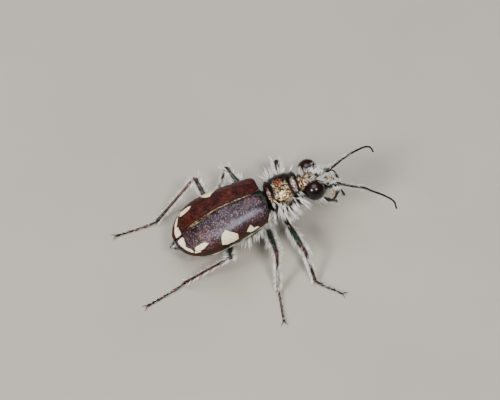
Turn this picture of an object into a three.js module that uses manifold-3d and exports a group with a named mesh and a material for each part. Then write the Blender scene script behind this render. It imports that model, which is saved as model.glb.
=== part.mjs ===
// A life-size model of a festive tiger beetle, about 13 mm long, standing on its six feet.
// Millimetres, +Z up, the floor at Z = 0. The beetle faces -Y, so +X is its left side.
// Each body plate, eye, mouthpart, feeler length and leg length is its own closed mesh,
// and neighbours that touch on the living beetle keep a small gap here.
import * as THREE from "three";
import { mergeVertices } from "three/addons/utils/BufferGeometryUtils.js";
import Module from "manifold-3d";

const wasm = await Module();
wasm.setup();

// Stance: the body rises towards the head, and the fore body is turned a little to the right.
const GAP = 0.3;
const CLEAR = GAP + 0.06;
const BODY_PITCH = THREE.MathUtils.degToRad(12);
const FORE_YAW = THREE.MathUtils.degToRad(-5.4);
const STAND_HEIGHT = 5.2;
const CENTRE = [2.02, -0.6];
const SIDES = { right: -1, left: 1 };

// Body plates, as cross-sections from front to back. Each row gives the place along the body, the half width,
// the heights of the top, the widest line and the underside, and the squareness, 2 for an ellipse.
const HEAD_ROWS = [
  [-4.65, 0.56, -1.12, -1.36, -1.62, 2.2],
  [-4.55, 0.74, -0.92, -1.34, -1.8, 2.4],
  [-4.35, 0.84, -0.6, -1.3, -2.02, 2.4],
  [-4.05, 0.86, -0.32, -1.24, -2.22, 2.4],
  [-3.7, 0.86, -0.16, -1.2, -2.32, 2.4],
  [-3.4, 0.92, -0.12, -1.14, -2.28, 2.3],
  [-3.18, 1.02, -0.14, -1.1, -2.15, 2.2],
  [-3.05, 1.0, -0.22, -1.08, -2.0, 2.2],
  [-2.99, 0.86, -0.36, -1.05, -1.8, 2.2],
];
const PROTHORAX_ROWS = [
  [-2.69, 1.02, -0.2, -0.98, -1.75, 2.3],
  [-2.56, 1.2, -0.02, -0.98, -1.95, 2.3],
  [-2.42, 1.22, 0.0, -0.98, -2.0, 2.3],
  [-2.26, 1.18, -0.1, -1.0, -2.05, 2.3],
  [-2.02, 1.36, 0.08, -1.0, -2.15, 2.3],
  [-1.55, 1.44, 0.16, -1.02, -2.2, 2.3],
  [-1.1, 1.38, 0.14, -1.05, -2.2, 2.3],
  [-0.8, 1.24, 0.02, -1.08, -2.15, 2.3],
  [-0.64, 1.14, -0.12, -1.1, -2.1, 2.3],
  [-0.5, 1.2, -0.03, -1.1, -2.0, 2.3],
  [-0.42, 1.14, -0.05, -1.1, -1.95, 2.3],
  [-0.36, 1.0, -0.2, -1.1, -1.8, 2.3],
];
const STERNUM_ROWS = [
  [0.06, 0.9, -1.3, -1.66, -2.1, 2.2],
  [0.2, 1.1, -1.28, -1.66, -2.3, 2.2],
  [0.7, 1.4, -1.42, -1.72, -2.5, 2.2],
  [1.4, 1.72, -1.56, -1.86, -2.62, 2.2],
  [2.2, 1.78, -1.62, -1.9, -2.62, 2.2],
  [2.9, 1.64, -1.66, -1.92, -2.54, 2.2],
  [3.3, 1.3, -1.7, -1.94, -2.38, 2.2],
];
const BACK_ROWS = [
  [0.06, 0.8, -0.62, -0.95, -2.0, 2.2],
  [0.3, 0.94, -0.58, -0.95, -2.2, 2.2],
  [1.0, 1.14, -0.52, -1.0, -2.3, 2.2],
  [2.0, 1.28, -0.48, -1.1, -2.4, 2.2],
  [3.0, 1.36, -0.5, -1.1, -2.4, 2.2],
  [3.3, 1.28, -0.54, -1.15, -2.3, 2.2],
];
const ABDOMEN_ROWS = [
  [3.6, 1.34, -0.66, -1.3, -2.28, 2.2],
  [3.75, 1.44, -0.58, -1.32, -2.42, 2.2],
  [4.4, 1.5, -0.66, -1.36, -2.44, 2.2],
  [5.1, 1.44, -0.86, -1.42, -2.4, 2.2],
  [5.8, 1.2, -1.12, -1.52, -2.34, 2.2],
  [6.4, 0.9, -1.4, -1.64, -2.24, 2.2],
  [6.9, 0.62, -1.6, -1.76, -2.12, 2.2],
  [7.3, 0.46, -1.68, -1.84, -2.08, 2.1],
  [7.7, 0.28, -1.6, -1.8, -2.0, 2.0],
];
const ABDOMEN_JOINTS = [4.3, 5.02, 5.72, 6.36, 6.94];
const ABDOMEN_GROOVE = { width: 0.08, depth: 0.07 };

// Wing cases: the place along the suture, the half width, and the heights of the margin and the suture.
const WING_CASE_ROWS = [
  [0.05, 1.66, -0.8, -0.02],
  [0.25, 1.9, -0.92, 0.1],
  [0.6, 2.05, -1.04, 0.2],
  [1.2, 2.16, -1.15, 0.32],
  [2.4, 2.3, -1.25, 0.44],
  [3.6, 2.41, -1.31, 0.4],
  [4.7, 2.43, -1.35, 0.16],
  [5.5, 2.3, -1.36, -0.12],
  [6.15, 2.02, -1.36, -0.42],
  [6.65, 1.64, -1.36, -0.72],
  [7.0, 1.22, -1.35, -0.96],
  [7.2, 0.84, -1.34, -1.1],
  [7.32, 0.56, -1.33, -1.16],
];
const WING_CASE = {
  wall: 0.5,
  most_of_half: 0.4,
  most_of_rise: 0.9,
  square: 2.4,
  stations: 17,
  across: 10,
  crowding: 0.5,
  apex_from: 6.6,
  apex_notch: 0.2,
};
const SHIELD = { half_width: 0.34, length: 0.62, front: 0.06, bottom: -1.0, height: 0.95 };

const EYE = { x: 0.98, y: -3.78, z: -0.74, half: [0.75, 0.78, 0.8] };
const LABRUM_ROWS = [
  [-5.28, 0.2, -1.94, -2.04, -2.14, 2.0],
  [-5.22, 0.44, -1.78, -1.97, -2.16, 2.3],
  [-5.1, 0.56, -1.58, -1.85, -2.12, 2.5],
  [-4.95, 0.52, -1.42, -1.7, -1.98, 2.4],
];

// Mouthparts of the left side, in the fore body's frame: routes from root to tip, and the radii at both ends
const MOUTHPARTS = {
  mandible: {
    route: [[0.7, -4.6, -2.38], [0.74, -4.98, -2.54], [0.5, -5.3, -2.78], [0.2, -5.48, -3.0]],
    radii: [0.22, 0.1],
  },
  maxillary_palp: {
    route: [
      [1.25, -4.3, -2.22], [1.47, -4.85, -2.42], [1.3, -5.35, -2], [1.17, -5.56, -2.25], [1.12, -5.72, -3],
    ],
    radii: [0.21, 0.15],
  },
  labial_palp: {
    route: [[0.45, -3.95, -2.88], [0.78, -4.35, -3.05], [0.9, -4.75, -3.16], [0.84, -5.1, -3.55]],
    radii: [0.22, 0.15],
  },
};

// Feelers: routes from the socket to the tip in the stance, hand-set to the pose
const FEELERS = {
  left: [
    [0.32, -4.9, 5.06], [-0.08, -5.3, 5.36], [0.0, -5.68, 5.45], [0.34, -6.48, 5.42],
    [0.74, -7.34, 5.25], [1.03, -8.16, 5.05], [1.27, -8.85, 4.75], [1.32, -9.3, 4.4], [1.13, -9.49, 3.95],
  ],
  right: [
    [-1.24, -4.9, 5.0], [-1.33, -5.42, 5.1], [-1.47, -5.68, 5.2], [-2.0, -6.4, 5.22],
    [-2.35, -7.22, 5.05], [-2.7, -7.79, 4.78], [-3.07, -8.54, 4.35], [-3.49, -9.16, 3.85], [-3.81, -9.3, 3.2],
  ],
};
const FEELER = {
  scape: 0.85,
  inner_share: 0.5,
  radius: 0.25,
  tip_radius: 0.13,
  taper_from: 0.35,
  joints: 11,
  swell: 0.1,
};

// Legs in the stance: the end of the hip and the knee, then the ankle and the toe on the floor
const [ANKLE_HEIGHT, TOE_HEIGHT] = [0.45, 0.23];
const LEGS = {
  front_left: { hip: [1.02, -1.9, 1.85], knee: [3.87, -2.77, 2.8], ankle: [4.2, -3.1], toe: [3.25, -5.1] },
  front_right: { hip: [-1.12, -1.65, 1.85], knee: [-4.1, -1.93, 1.75], ankle: [-5.7, -2], toe: [-7.4, -3.5] },
  middle_left: { hip: [1.0, -0.1, 1.9], knee: [4.44, 1.07, 3.2], ankle: [3.94, 1.97], toe: [3.85, 4.7] },
  middle_right: { hip: [-0.95, -0.12, 1.9], knee: [-4.09, 0.39, 3], ankle: [-5.43, 0.78], toe: [-8.1, 1.42] },
  hind_left: { hip: [0.84, 2.82, 1.42], knee: [4.25, 3.62, 3.36], ankle: [3.58, 6.98], toe: [3.62, 10.2] },
  hind_right: { hip: [-0.74, 2.82, 1.42], knee: [-3.6, 3.88, 3.56], ankle: [-2.4, 7.12], toe: [-3.14, 10.3] },
};
const LEG = {
  hip_radius: 0.3,
  hip_taper: 0.8,
  hip_flatness: 0.9,
  femur_deep: { front: 0.36, middle: 0.35, hind: 0.34 },
  femur_thick: 0.28,
  femur_bow: { front: 0.05, middle: 0.08, hind: 0.38 },
  femur_swell: { from: 0.25, power: 0.8, round: 0.22 },
  limb_radius: 0.25,
  joint_gap: CLEAR + 0.04,
  point: 0.4,
  spur: { at: 0.93, length: 0.5, radius: 0.1, spread: 0.5 },
  toe_joints: [0, 0.36, 0.58, 0.75, 0.87, 1],
  toe_lap: 0.02,
  toe_radii: [0.21, 0.25],
  claw: { length: 0.5, radius: 0.12, spread: 0.5 },
};
// Hip cups on the underside: centre and half sizes on the left, in the frame of the plate that carries them
const COXAE = {
  front: { centre: [0.6, -1.45, -2.2], half: [0.5, 0.6, 0.6] },
  middle: { centre: [0.6, 0.42, -2.35], half: [0.44, 0.4, 0.44] },
  hind: { centre: [0.66, 2.9, -2.36], half: [0.56, 0.36, 0.4] },
};

// Locks of bristles: fans along the sides of the chest, from a place to a place along the body, and fringes
// along both edges of each femur, at shares of its length. A lock's sections give its width along its length.
const LOCK = {
  sections: [[0, 1], [0.4, 0.86], [0.75, 0.5], [1, 0.16]],
  sink: 0.22,
  unevenness: { size: 0.14, beat: 2.4, start: 0.7 },
};
const FANS = {
  prothorax: {
    from: -2.3, to: -0.85, count: 6, below: 0.45, spread: 0.45,
    length: 1.05, width: 0.46, thick: 0.3, bend: 0.18,
  },
  hind_chest: {
    from: 1.3, to: 2.2, count: 4, below: 0.2, spread: 0.2,
    length: 0.8, width: 0.42, thick: 0.28, bend: 0.15,
  },
};
const FRINGE = {
  from: 0.34, to: 0.74, count: 4, droop: 0.25,
  length: 0.66, width: 0.42, thick: 0.28, bend: 0.35,
};

// Fineness: stations along and sides around each plate and ball
const FINE = {
  head: [16, 26],
  labrum: [6, 16],
  prothorax: [18, 22],
  sternum: [10, 20],
  back: [6, 16],
  abdomen: [14, 18],
  eye: [20, 13],
  hip_cup: [10, 6],
};
const LIMB_END = { round: 0.16, first_ring: 0.3, least: 0.4 };

// A row of a table at any place between its ends, by a smooth curve through the rows
function rowAt(rows, place) {
  const last = rows.length - 1;
  let i = 0;
  while (i < last - 1 && rows[i + 1][0] < place) i += 1;
  const [before, a, b, after] = [rows[Math.max(i - 1, 0)], rows[i], rows[i + 1], rows[Math.min(i + 2, last)]];
  const span = b[0] - a[0];
  const t = THREE.MathUtils.clamp((place - a[0]) / span, 0, 1);
  const [t2, t3] = [t * t, t * t * t];
  return a.map((value, k) => {
    if (k === 0) return place;
    const leave = (span * (b[k] - before[k])) / (b[0] - before[0]);
    const arrive = (span * (after[k] - a[k])) / (after[0] - a[0]);
    const start = (2 * t3 - 3 * t2 + 1) * value + (t3 - 2 * t2 + t) * leave;
    return start + (3 * t2 - 2 * t3) * b[k] + (t3 - t2) * arrive;
  });
}

const blend = (a, b, share) => a + (b - a) * share;
const bent = (angle, wave, power) => Math.sign(wave(angle)) * Math.abs(wave(angle)) ** power;

// Closed solids, joined and cut as manifolds
function solidOf(geometry) {
  const bare = new THREE.BufferGeometry().setAttribute("position", geometry.getAttribute("position"));
  bare.setIndex(geometry.index);
  const merged = mergeVertices(bare, 1e-4);
  const vertProperties = new Float32Array(merged.attributes.position.array);
  const triVerts = new Uint32Array(merged.index.array);
  const made = new wasm.Manifold(new wasm.Mesh({ numProp: 3, vertProperties, triVerts }));
  if (made.volume() > 0) return made;
  for (let i = 0; i < triVerts.length; i += 3) {
    [triVerts[i], triVerts[i + 1]] = [triVerts[i + 1], triVerts[i]];
  }
  return new wasm.Manifold(new wasm.Mesh({ numProp: 3, vertProperties, triVerts }));
}

function geometryOf(solid) {
  const mesh = solid.getMesh();
  const made = new THREE.BufferGeometry();
  made.setAttribute("position", new THREE.BufferAttribute(mesh.vertProperties, 3));
  made.setIndex(new THREE.BufferAttribute(mesh.triVerts, 1));
  return made;
}

const largest = (solid) => solid.decompose().reduce((a, b) => (a.volume() >= b.volume() ? a : b));
const union = (...solids) => largest(solids.reduce((a, b) => a.add(b)));

function boxSolid(low, high) {
  const made = new THREE.BoxGeometry(...high.map((v, i) => v - low[i]));
  made.translate(...high.map((v, i) => (v + low[i]) / 2));
  return solidOf(made);
}

function ellipsoid(centre, half, across, down) {
  const made = new THREE.SphereGeometry(1, across, down);
  made.rotateX(Math.PI / 2);
  made.scale(...half);
  made.translate(...centre);
  return solidOf(made);
}

// A closed skin over rings of points, with a point in the middle of each end
function loft(rings) {
  const sides = rings[0].length;
  const positions = rings.flat().flatMap((p) => [p.x, p.y, p.z]);
  const index = [];
  for (let r = 0; r < rings.length - 1; r += 1) {
    for (let s = 0; s < sides; s += 1) {
      const a = r * sides + s;
      const b = r * sides + ((s + 1) % sides);
      index.push(a, b, a + sides, b, b + sides, a + sides);
    }
  }
  [rings[0], rings[rings.length - 1]].forEach((ring, end) => {
    const middle = ring.reduce((sum, p) => sum.add(p), new THREE.Vector3()).divideScalar(sides);
    const centre = positions.length / 3;
    const first = end * (rings.length - 1) * sides;
    positions.push(middle.x, middle.y, middle.z);
    for (let s = 0; s < sides; s += 1) {
      const pair = [first + s, first + ((s + 1) % sides)];
      index.push(centre, ...(end === 0 ? pair.reverse() : pair));
    }
  });
  const made = new THREE.BufferGeometry();
  made.setAttribute("position", new THREE.Float32BufferAttribute(positions, 3));
  made.setIndex(index);
  return solidOf(made);
}

// A body plate through its rows. A margin grows it, to cut a neighbour clear of it.
function plate(rows, [stations, sides], margin = 0) {
  const [first, last] = [rows[0][0], rows[rows.length - 1][0]];
  const rings = [];
  for (let i = 0; i <= stations; i += 1) {
    const [y, half, top, widest, bottom, square] = rowAt(rows, blend(first, last, i / stations));
    const away = i === 0 ? -margin : i === stations ? margin : 0;
    const ring = [];
    for (let s = 0; s < sides; s += 1) {
      const angle = (2 * Math.PI * s) / sides;
      const across = bent(angle, Math.cos, 2 / square);
      const up = bent(angle, Math.sin, 2 / square);
      const reach = up > 0 ? top + margin - widest : widest - bottom + margin;
      ring.push(new THREE.Vector3((half + margin) * across, y + away, widest + reach * up));
    }
    rings.push(ring);
  }
  return loft(rings);
}

const routeCurve = (points) =>
  new THREE.CatmullRomCurve3(points.map((p) => new THREE.Vector3(...p)), false, "centripetal");

// A round-ended limb along a curve between two lengths of it. size gives, at a share of the way, its half
// depth in the plane in which the limb stands and its half thickness. A margin grows it, to cut a neighbour.
function limb(curve, from, to, size, { steps, sides, round = LIMB_END.round, margin = 0 }) {
  const share = (place) => THREE.MathUtils.clamp(place / curve.getLength(), 0, 1);
  const level = new THREE.Vector3().subVectors(curve.getPointAt(share(to)), curve.getPointAt(share(from)));
  level.cross(new THREE.Vector3(0, 0, 1)).normalize();
  const places = [from, from + LIMB_END.first_ring * round];
  for (let i = 0; i <= steps; i += 1) places.push(blend(from + round, to - round, i / steps));
  places.push(to - LIMB_END.first_ring * round, to);
  const rings = places.map((place, i) => {
    const along = curve.getTangentAt(share(place));
    const beyond = i === 0 ? -margin : i === places.length - 1 ? margin : 0;
    const centre = curve.getPointAt(share(place)).addScaledVector(along, beyond);
    const deepway = new THREE.Vector3().crossVectors(level, along).normalize();
    const thickway = new THREE.Vector3().crossVectors(along, deepway);
    const inset = THREE.MathUtils.clamp(1 - Math.min(place - from, to - place) / round, 0, 1);
    const end = Math.max(Math.sqrt(1 - inset * inset), LIMB_END.least);
    const [deep, thick] = size((place - from) / (to - from));
    const ring = [];
    for (let s = 0; s < sides; s += 1) {
      const angle = (2 * Math.PI * (s + 0.5)) / sides;
      const point = centre.clone().addScaledVector(thickway, Math.cos(angle) * (thick * end + margin));
      ring.push(point.addScaledVector(deepway, Math.sin(angle) * (deep * end + margin)));
    }
    return ring;
  });
  return loft(rings);
}

// A short tapered bar, for spurs, claws and toe joints
function bar(root, tip, rootRadius, tipRadius, sides) {
  const reach = new THREE.Vector3().subVectors(tip, root);
  const made = new THREE.CylinderGeometry(tipRadius, rootRadius, reach.length(), sides);
  made.translate(0, reach.length() / 2, 0);
  const upright = new THREE.Vector3(0, 1, 0);
  made.applyQuaternion(new THREE.Quaternion().setFromUnitVectors(upright, reach.normalize()));
  made.translate(...root);
  return solidOf(made);
}

// A flat, tapered lock of bristles. It stands out along one way, is wide across another and bends to its lie.
function lock(root, way, across, lie, { length, width, thick, bend }) {
  const rings = LOCK.sections.map(([t, share]) => {
    const along = way.clone().addScaledVector(lie, 2 * bend * t).normalize();
    const wide = across.clone().addScaledVector(along, -across.dot(along)).normalize();
    const flat = new THREE.Vector3().crossVectors(along, wide);
    const centre = root.clone().addScaledVector(way, length * t - LOCK.sink);
    centre.addScaledVector(lie, bend * length * t * t);
    return [[1, 0], [0, 1], [-1, 0], [0, -1]].map(([u, v]) => {
      const corner = centre.clone().addScaledVector(wide, (u * width * share) / 2);
      return corner.addScaledVector(flat, (v * thick * share) / 2);
    });
  });
  return loft(rings);
}

function uneven(i) {
  const { size, beat, start } = LOCK.unevenness;
  return 1 + size * Math.sin(beat * i + start);
}

// Materials
const finish = (color, roughness, metalness) =>
  new THREE.MeshStandardMaterial({ color, roughness, metalness });
const MATERIALS = {
  wing_case: finish(0x4a150d, 0.38, 0.1),
  bronze: finish(0x6b3f22, 0.3, 0.7),
  black_plate: finish(0x14120f, 0.35, 0.3),
  eye: finish(0x170c0a, 0.15, 0.0),
  ivory: finish(0xd8c7a2, 0.5, 0.0),
  jaw: finish(0x2a100a, 0.3, 0.2),
  leg: finish(0x1d1310, 0.32, 0.4),
};

// The frames: the stance on the floor, the body pitched up in it, and the fore body turned in that
const part = new THREE.Group();
const stance = new THREE.Group();
stance.position.set(...CENTRE, 0);
part.add(stance);
const body = new THREE.Group();
body.position.z = STAND_HEIGHT;
body.rotation.x = -BODY_PITCH;
stance.add(body);
const foreBody = new THREE.Group();
foreBody.rotation.z = FORE_YAW;
body.add(foreBody);
part.updateMatrixWorld(true);

function place(group, name, solid, material) {
  const mesh = new THREE.Mesh(geometryOf(largest(solid)), material);
  mesh.name = name;
  group.add(mesh);
}

const fromStance = (group, point) => group.worldToLocal(stance.localToWorld(new THREE.Vector3(...point)));

function inStance(group, solid) {
  const turn = stance.matrixWorld.clone().invert().multiply(group.matrixWorld);
  return solid.transform(turn.elements);
}

// Wing cases: curved walls from the suture to the margin, open below
function wingCasePoint(y, share, depth) {
  const [, half, margin, crest] = rowAt(WING_CASE_ROWS, y);
  const angle = (share * Math.PI) / 2;
  const shield = Math.max(0, 1 - y / (SHIELD.length + CLEAR)) * (SHIELD.half_width + CLEAR);
  const end = WING_CASE_ROWS[WING_CASE_ROWS.length - 1][0];
  const late = Math.max(0, (y - WING_CASE.apex_from) / (end - WING_CASE.apex_from));
  const start = GAP / 2 + shield + WING_CASE.apex_notch * late * late;
  const across = bent(angle, Math.sin, 2 / WING_CASE.square);
  const up = bent(angle, Math.cos, 2 / WING_CASE.square);
  return [start + (half - depth - start) * across, margin + (crest - depth - margin) * up];
}

function wingCase(side) {
  const [start, end] = [WING_CASE_ROWS[0][0], WING_CASE_ROWS[WING_CASE_ROWS.length - 1][0]];
  const rings = [];
  for (let i = 0; i <= WING_CASE.stations; i += 1) {
    const t = i / WING_CASE.stations;
    const y = blend(start, end, blend(t, Math.sin((t * Math.PI) / 2), WING_CASE.crowding));
    const [, half, margin, crest] = rowAt(WING_CASE_ROWS, y);
    const { most_of_half: ofHalf, most_of_rise: ofRise } = WING_CASE;
    const wall = Math.min(WING_CASE.wall, ofHalf * half, ofRise * (crest - margin));
    const ring = [];
    for (let s = 0; s <= WING_CASE.across; s += 1) {
      const [x, z] = wingCasePoint(y, s / WING_CASE.across, 0);
      ring.push(new THREE.Vector3(side * x, y, z));
    }
    for (let s = WING_CASE.across; s >= 0; s -= 1) {
      const [x, z] = wingCasePoint(y, s / WING_CASE.across, wall);
      ring.push(new THREE.Vector3(side * x, y, z));
    }
    rings.push(ring);
  }
  return loft(rings);
}

for (const [name, side] of Object.entries(SIDES)) {
  place(body, `wing_case_${name}`, wingCase(side), MATERIALS.wing_case);
}

// Hip: a cup on the underside of the chest and a short trochanter that reaches the femur
function hip(pair, name, group, margin = 0) {
  const [x, y, z] = COXAE[pair].centre;
  const inner = new THREE.Vector3(SIDES[name] * x, y, z);
  const outer = fromStance(group, LEGS[`${pair}_${name}`].hip);
  const { hip_radius: radius, hip_taper: taper, hip_flatness: flatness } = LEG;
  const size = (t) => [blend(radius, taper * radius, t), flatness * radius];
  const half = COXAE[pair].half.map((v) => v + margin);
  const cup = ellipsoid([inner.x, inner.y, inner.z], half, ...FINE.hip_cup);
  const long = inner.distanceTo(outer);
  const reach = limb(routeCurve([inner, outer]), 0, long, size, { steps: 2, sides: 8, margin });
  return union(cup, reach);
}

const hips = (pair, group) => Object.keys(SIDES).map((name) => hip(pair, name, group));

// Fans of locks from both sides of a plate, spread from front to back and bent down
function fans(rows, { from, to, count, below, spread, ...size }) {
  return Object.values(SIDES).flatMap((side) =>
    Array.from({ length: count }, (_, i) => {
      const share = i / (count - 1);
      const y = blend(from, to, share);
      const [, half, , widest, bottom, square] = rowAt(rows, y);
      const out = half * bent(below, Math.cos, 2 / square);
      const down = (widest - bottom) * bent(below, Math.sin, 2 / square);
      const root = new THREE.Vector3(side * out, y, widest - down);
      const way = new THREE.Vector3(side, blend(-spread, spread, share), -below).normalize();
      const row = new THREE.Vector3(0, 1, 0);
      const lie = new THREE.Vector3(0, 0, -1);
      return lock(root, way, row, lie, { ...size, length: size.length * uneven(i + side) });
    }),
  );
}

// Shield between the roots of the wing cases
function shieldSolid() {
  const { half_width: half, length, front, bottom, height } = SHIELD;
  const outline = new THREE.Shape();
  outline.moveTo(-half, front);
  outline.quadraticCurveTo(-0.7 * half, 0.7 * length, 0, length);
  outline.quadraticCurveTo(0.7 * half, 0.7 * length, half, front);
  const made = new THREE.ExtrudeGeometry(outline, { depth: height, bevelEnabled: false, curveSegments: 5 });
  made.translate(0, 0, bottom);
  made.deleteAttribute("normal");
  made.deleteAttribute("uv");
  return solidOf(mergeVertices(made));
}

const hindChest = union(
  plate(STERNUM_ROWS, FINE.sternum),
  plate(BACK_ROWS, FINE.back),
  shieldSolid(),
  ...hips("middle", body),
  ...hips("hind", body),
);
const chestFans = fans(STERNUM_ROWS, FANS.hind_chest);
place(body, "hind_chest", union(hindChest, ...chestFans), MATERIALS.black_plate);

// Abdomen with the grooves between its underside plates
function abdomen() {
  const grooves = ABDOMEN_JOINTS.map((y) => {
    const [, half, , , bottom] = rowAt(ABDOMEN_ROWS, y);
    const { width, depth } = ABDOMEN_GROOVE;
    return boxSolid([-half, y - width / 2, bottom - half], [half, y + width / 2, bottom + depth]);
  });
  return grooves.reduce((made, groove) => made.subtract(groove), plate(ABDOMEN_ROWS, FINE.abdomen));
}

place(body, "abdomen", abdomen(), MATERIALS.black_plate);

const prothorax = union(plate(PROTHORAX_ROWS, FINE.prothorax), ...hips("front", foreBody));
const neckFans = fans(PROTHORAX_ROWS, FANS.prothorax);
place(foreBody, "prothorax", union(prothorax, ...neckFans), MATERIALS.bronze);

// Head: the capsule with the eyes standing on its sides, the pale upper lip and the mouthparts
place(foreBody, "head", plate(HEAD_ROWS, FINE.head), MATERIALS.bronze);
place(foreBody, "labrum", plate(LABRUM_ROWS, FINE.labrum), MATERIALS.ivory);

const headClear = plate(HEAD_ROWS, FINE.head, CLEAR);
for (const [name, side] of Object.entries(SIDES)) {
  const ball = ellipsoid([side * EYE.x, EYE.y, EYE.z], EYE.half, ...FINE.eye);
  place(foreBody, `eye_${name}`, ball.subtract(headClear), MATERIALS.eye);
  for (const [piece, { route, radii }] of Object.entries(MOUTHPARTS)) {
    const curve = routeCurve(route.map(([x, y, z]) => [side * x, y, z]));
    const size = (t) => [blend(...radii, t), blend(...radii, t)];
    const made = limb(curve, 0, curve.getLength(), size, { steps: 5, sides: 7 }).subtract(headClear);
    place(foreBody, `${piece}_${name}`, made, piece === "mandible" ? MATERIALS.jaw : MATERIALS.leg);
  }
}

// Feelers, each in a bulb, an inner length and an outer length
function feelerSize(from, to, total) {
  return (t) => {
    const share = blend(from, to, t) / total;
    const wave = 0.5 + 0.5 * Math.cos(2 * Math.PI * share * FEELER.joints);
    const late = Math.max(0, share - FEELER.taper_from) / (1 - FEELER.taper_from);
    const thick = blend(FEELER.radius, FEELER.tip_radius, late) * (1 + FEELER.swell * wave);
    return [thick, thick];
  };
}

const faceClear = inStance(foreBody, headClear.add(plate(LABRUM_ROWS, FINE.labrum, CLEAR)));
for (const [name, points] of Object.entries(FEELERS)) {
  const curve = routeCurve(points);
  const total = curve.getLength();
  const middle = total * FEELER.inner_share;
  const lengths = {
    scape: [0, FEELER.scape],
    inner: [FEELER.scape + GAP, middle],
    outer: [middle + GAP, total],
  };
  for (const [piece, [from, to]] of Object.entries(lengths)) {
    const steps = Math.max(3, Math.round((2 * FEELER.joints * (to - from)) / total));
    const made = limb(curve, from, to, feelerSize(from, to, total), { steps, sides: 7 });
    const clear = piece === "scape" ? made.subtract(faceClear) : made;
    place(stance, `feeler_${name}_${piece}`, clear, MATERIALS.leg);
  }
}

// Legs. Each femur is cut clear of the hip and the plates that it comes out from.
const CARRIERS = { front: foreBody, middle: body, hind: body };
const sternumClear = plate(STERNUM_ROWS, FINE.sternum, CLEAR);
const bodyClear = {
  front: plate(PROTHORAX_ROWS, FINE.prothorax, CLEAR),
  middle: sternumClear,
  hind: sternumClear.add(plate(ABDOMEN_ROWS, FINE.abdomen, CLEAR)),
};

function fringe(curve, side) {
  const { from, to, count, droop, ...size } = FRINGE;
  return Array.from({ length: count }, (_, i) => {
    const share = blend(from, to, i / (count - 1));
    const along = curve.getTangentAt(share);
    const beside = new THREE.Vector3(-along.y, along.x, 0).normalize();
    const way = beside.clone().multiplyScalar(side).setZ(-droop).normalize();
    const root = curve.getPointAt(share).addScaledVector(beside, side * LEG.femur_thick);
    return lock(root, way, along, along, { ...size, length: size.length * uneven(i + side) });
  });
}

function femur({ hip: start, knee }, pair, name) {
  const middle = start.map((v, i) => (v + knee[i]) / 2);
  middle[2] -= LEG.femur_bow[pair];
  const curve = routeCurve([start, middle, knee]);
  const { from, power, round } = LEG.femur_swell;
  const size = (t) => {
    const swell = Math.sin(Math.PI * blend(from, 1, t)) ** power;
    const deep = blend(LEG.limb_radius, LEG.femur_deep[pair], swell);
    return [deep, Math.min(deep, LEG.femur_thick)];
  };
  const group = CARRIERS[pair];
  const clear = inStance(group, bodyClear[pair].add(hip(pair, name, group, CLEAR)));
  const made = limb(curve, 0, curve.getLength(), size, { steps: 5, sides: 8, round });
  const fringes = Object.values(SIDES).flatMap((side) => fringe(curve, side));
  return union(made.subtract(clear), ...fringes);
}

function tibia({ knee, ankle }) {
  const curve = routeCurve([knee, [...ankle, ANKLE_HEIGHT]]);
  const size = () => [LEG.limb_radius, LEG.limb_radius];
  const { at, length, radius, spread } = LEG.spur;
  const along = curve.getTangentAt(1);
  const beside = new THREE.Vector3(-along.y, along.x, 0).normalize();
  const root = curve.getPointAt(at);
  const spurs = Object.values(SIDES).map((side) => {
    const way = along.clone().addScaledVector(beside, side * spread).normalize();
    return bar(root, root.clone().addScaledVector(way, length), radius, LEG.point * radius, 5);
  });
  const start = LEG.limb_radius + LEG.joint_gap;
  return union(limb(curve, start, curve.getLength(), size, { steps: 3, sides: 8 }), ...spurs);
}

function tarsus({ ankle, toe }) {
  const start = new THREE.Vector3(...ankle, TOE_HEIGHT);
  const end = new THREE.Vector3(...toe, TOE_HEIGHT);
  const along = end.clone().sub(start).normalize();
  const beside = new THREE.Vector3(-along.y, along.x, 0);
  start.addScaledVector(along, LEG.limb_radius + LEG.joint_gap);
  const at = (share) => start.clone().lerp(end, share);
  const joints = LEG.toe_joints.slice(0, -1).map((share, i) => {
    const next = LEG.toe_joints[i + 1] + LEG.toe_lap;
    return bar(at(share), at(next), ...LEG.toe_radii, 7);
  });
  const { length, radius, spread } = LEG.claw;
  const claws = Object.values(SIDES).map((side) => {
    const way = along.clone().addScaledVector(beside, side * spread).normalize();
    const tip = end.clone().addScaledVector(way, length).setZ(radius);
    return bar(end.clone().addScaledVector(along, -radius), tip, radius, LEG.point * radius, 6);
  });
  const [far, deep] = [20, 1];
  return union(...joints, ...claws).subtract(boxSolid([-far, -far, -deep], [far, far, 0]));
}

for (const [name, leg] of Object.entries(LEGS)) {
  const [pair, side] = name.split("_");
  place(stance, `leg_${pair}_${side}_femur`, femur(leg, pair, side), MATERIALS.leg);
  place(stance, `leg_${pair}_${side}_tibia`, tibia(leg), MATERIALS.leg);
  place(stance, `leg_${pair}_${side}_tarsus`, tarsus(leg), MATERIALS.leg);
}

export default part;
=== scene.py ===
# %% [markdown]
# # A festive tiger beetle, dressed over its solids
# The packed solids give every plate, limb and joint its real place and size. They are coarse and keep
# small gaps, so each of them gets a finer piece here: thin shells, jointed limbs and thousands of white
# bristles. Loading them first means that all the rest can be measured against them.

import math
from functools import partial

import bmesh
import bpy
import numpy as np
from mathutils import Matrix, Vector


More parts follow.
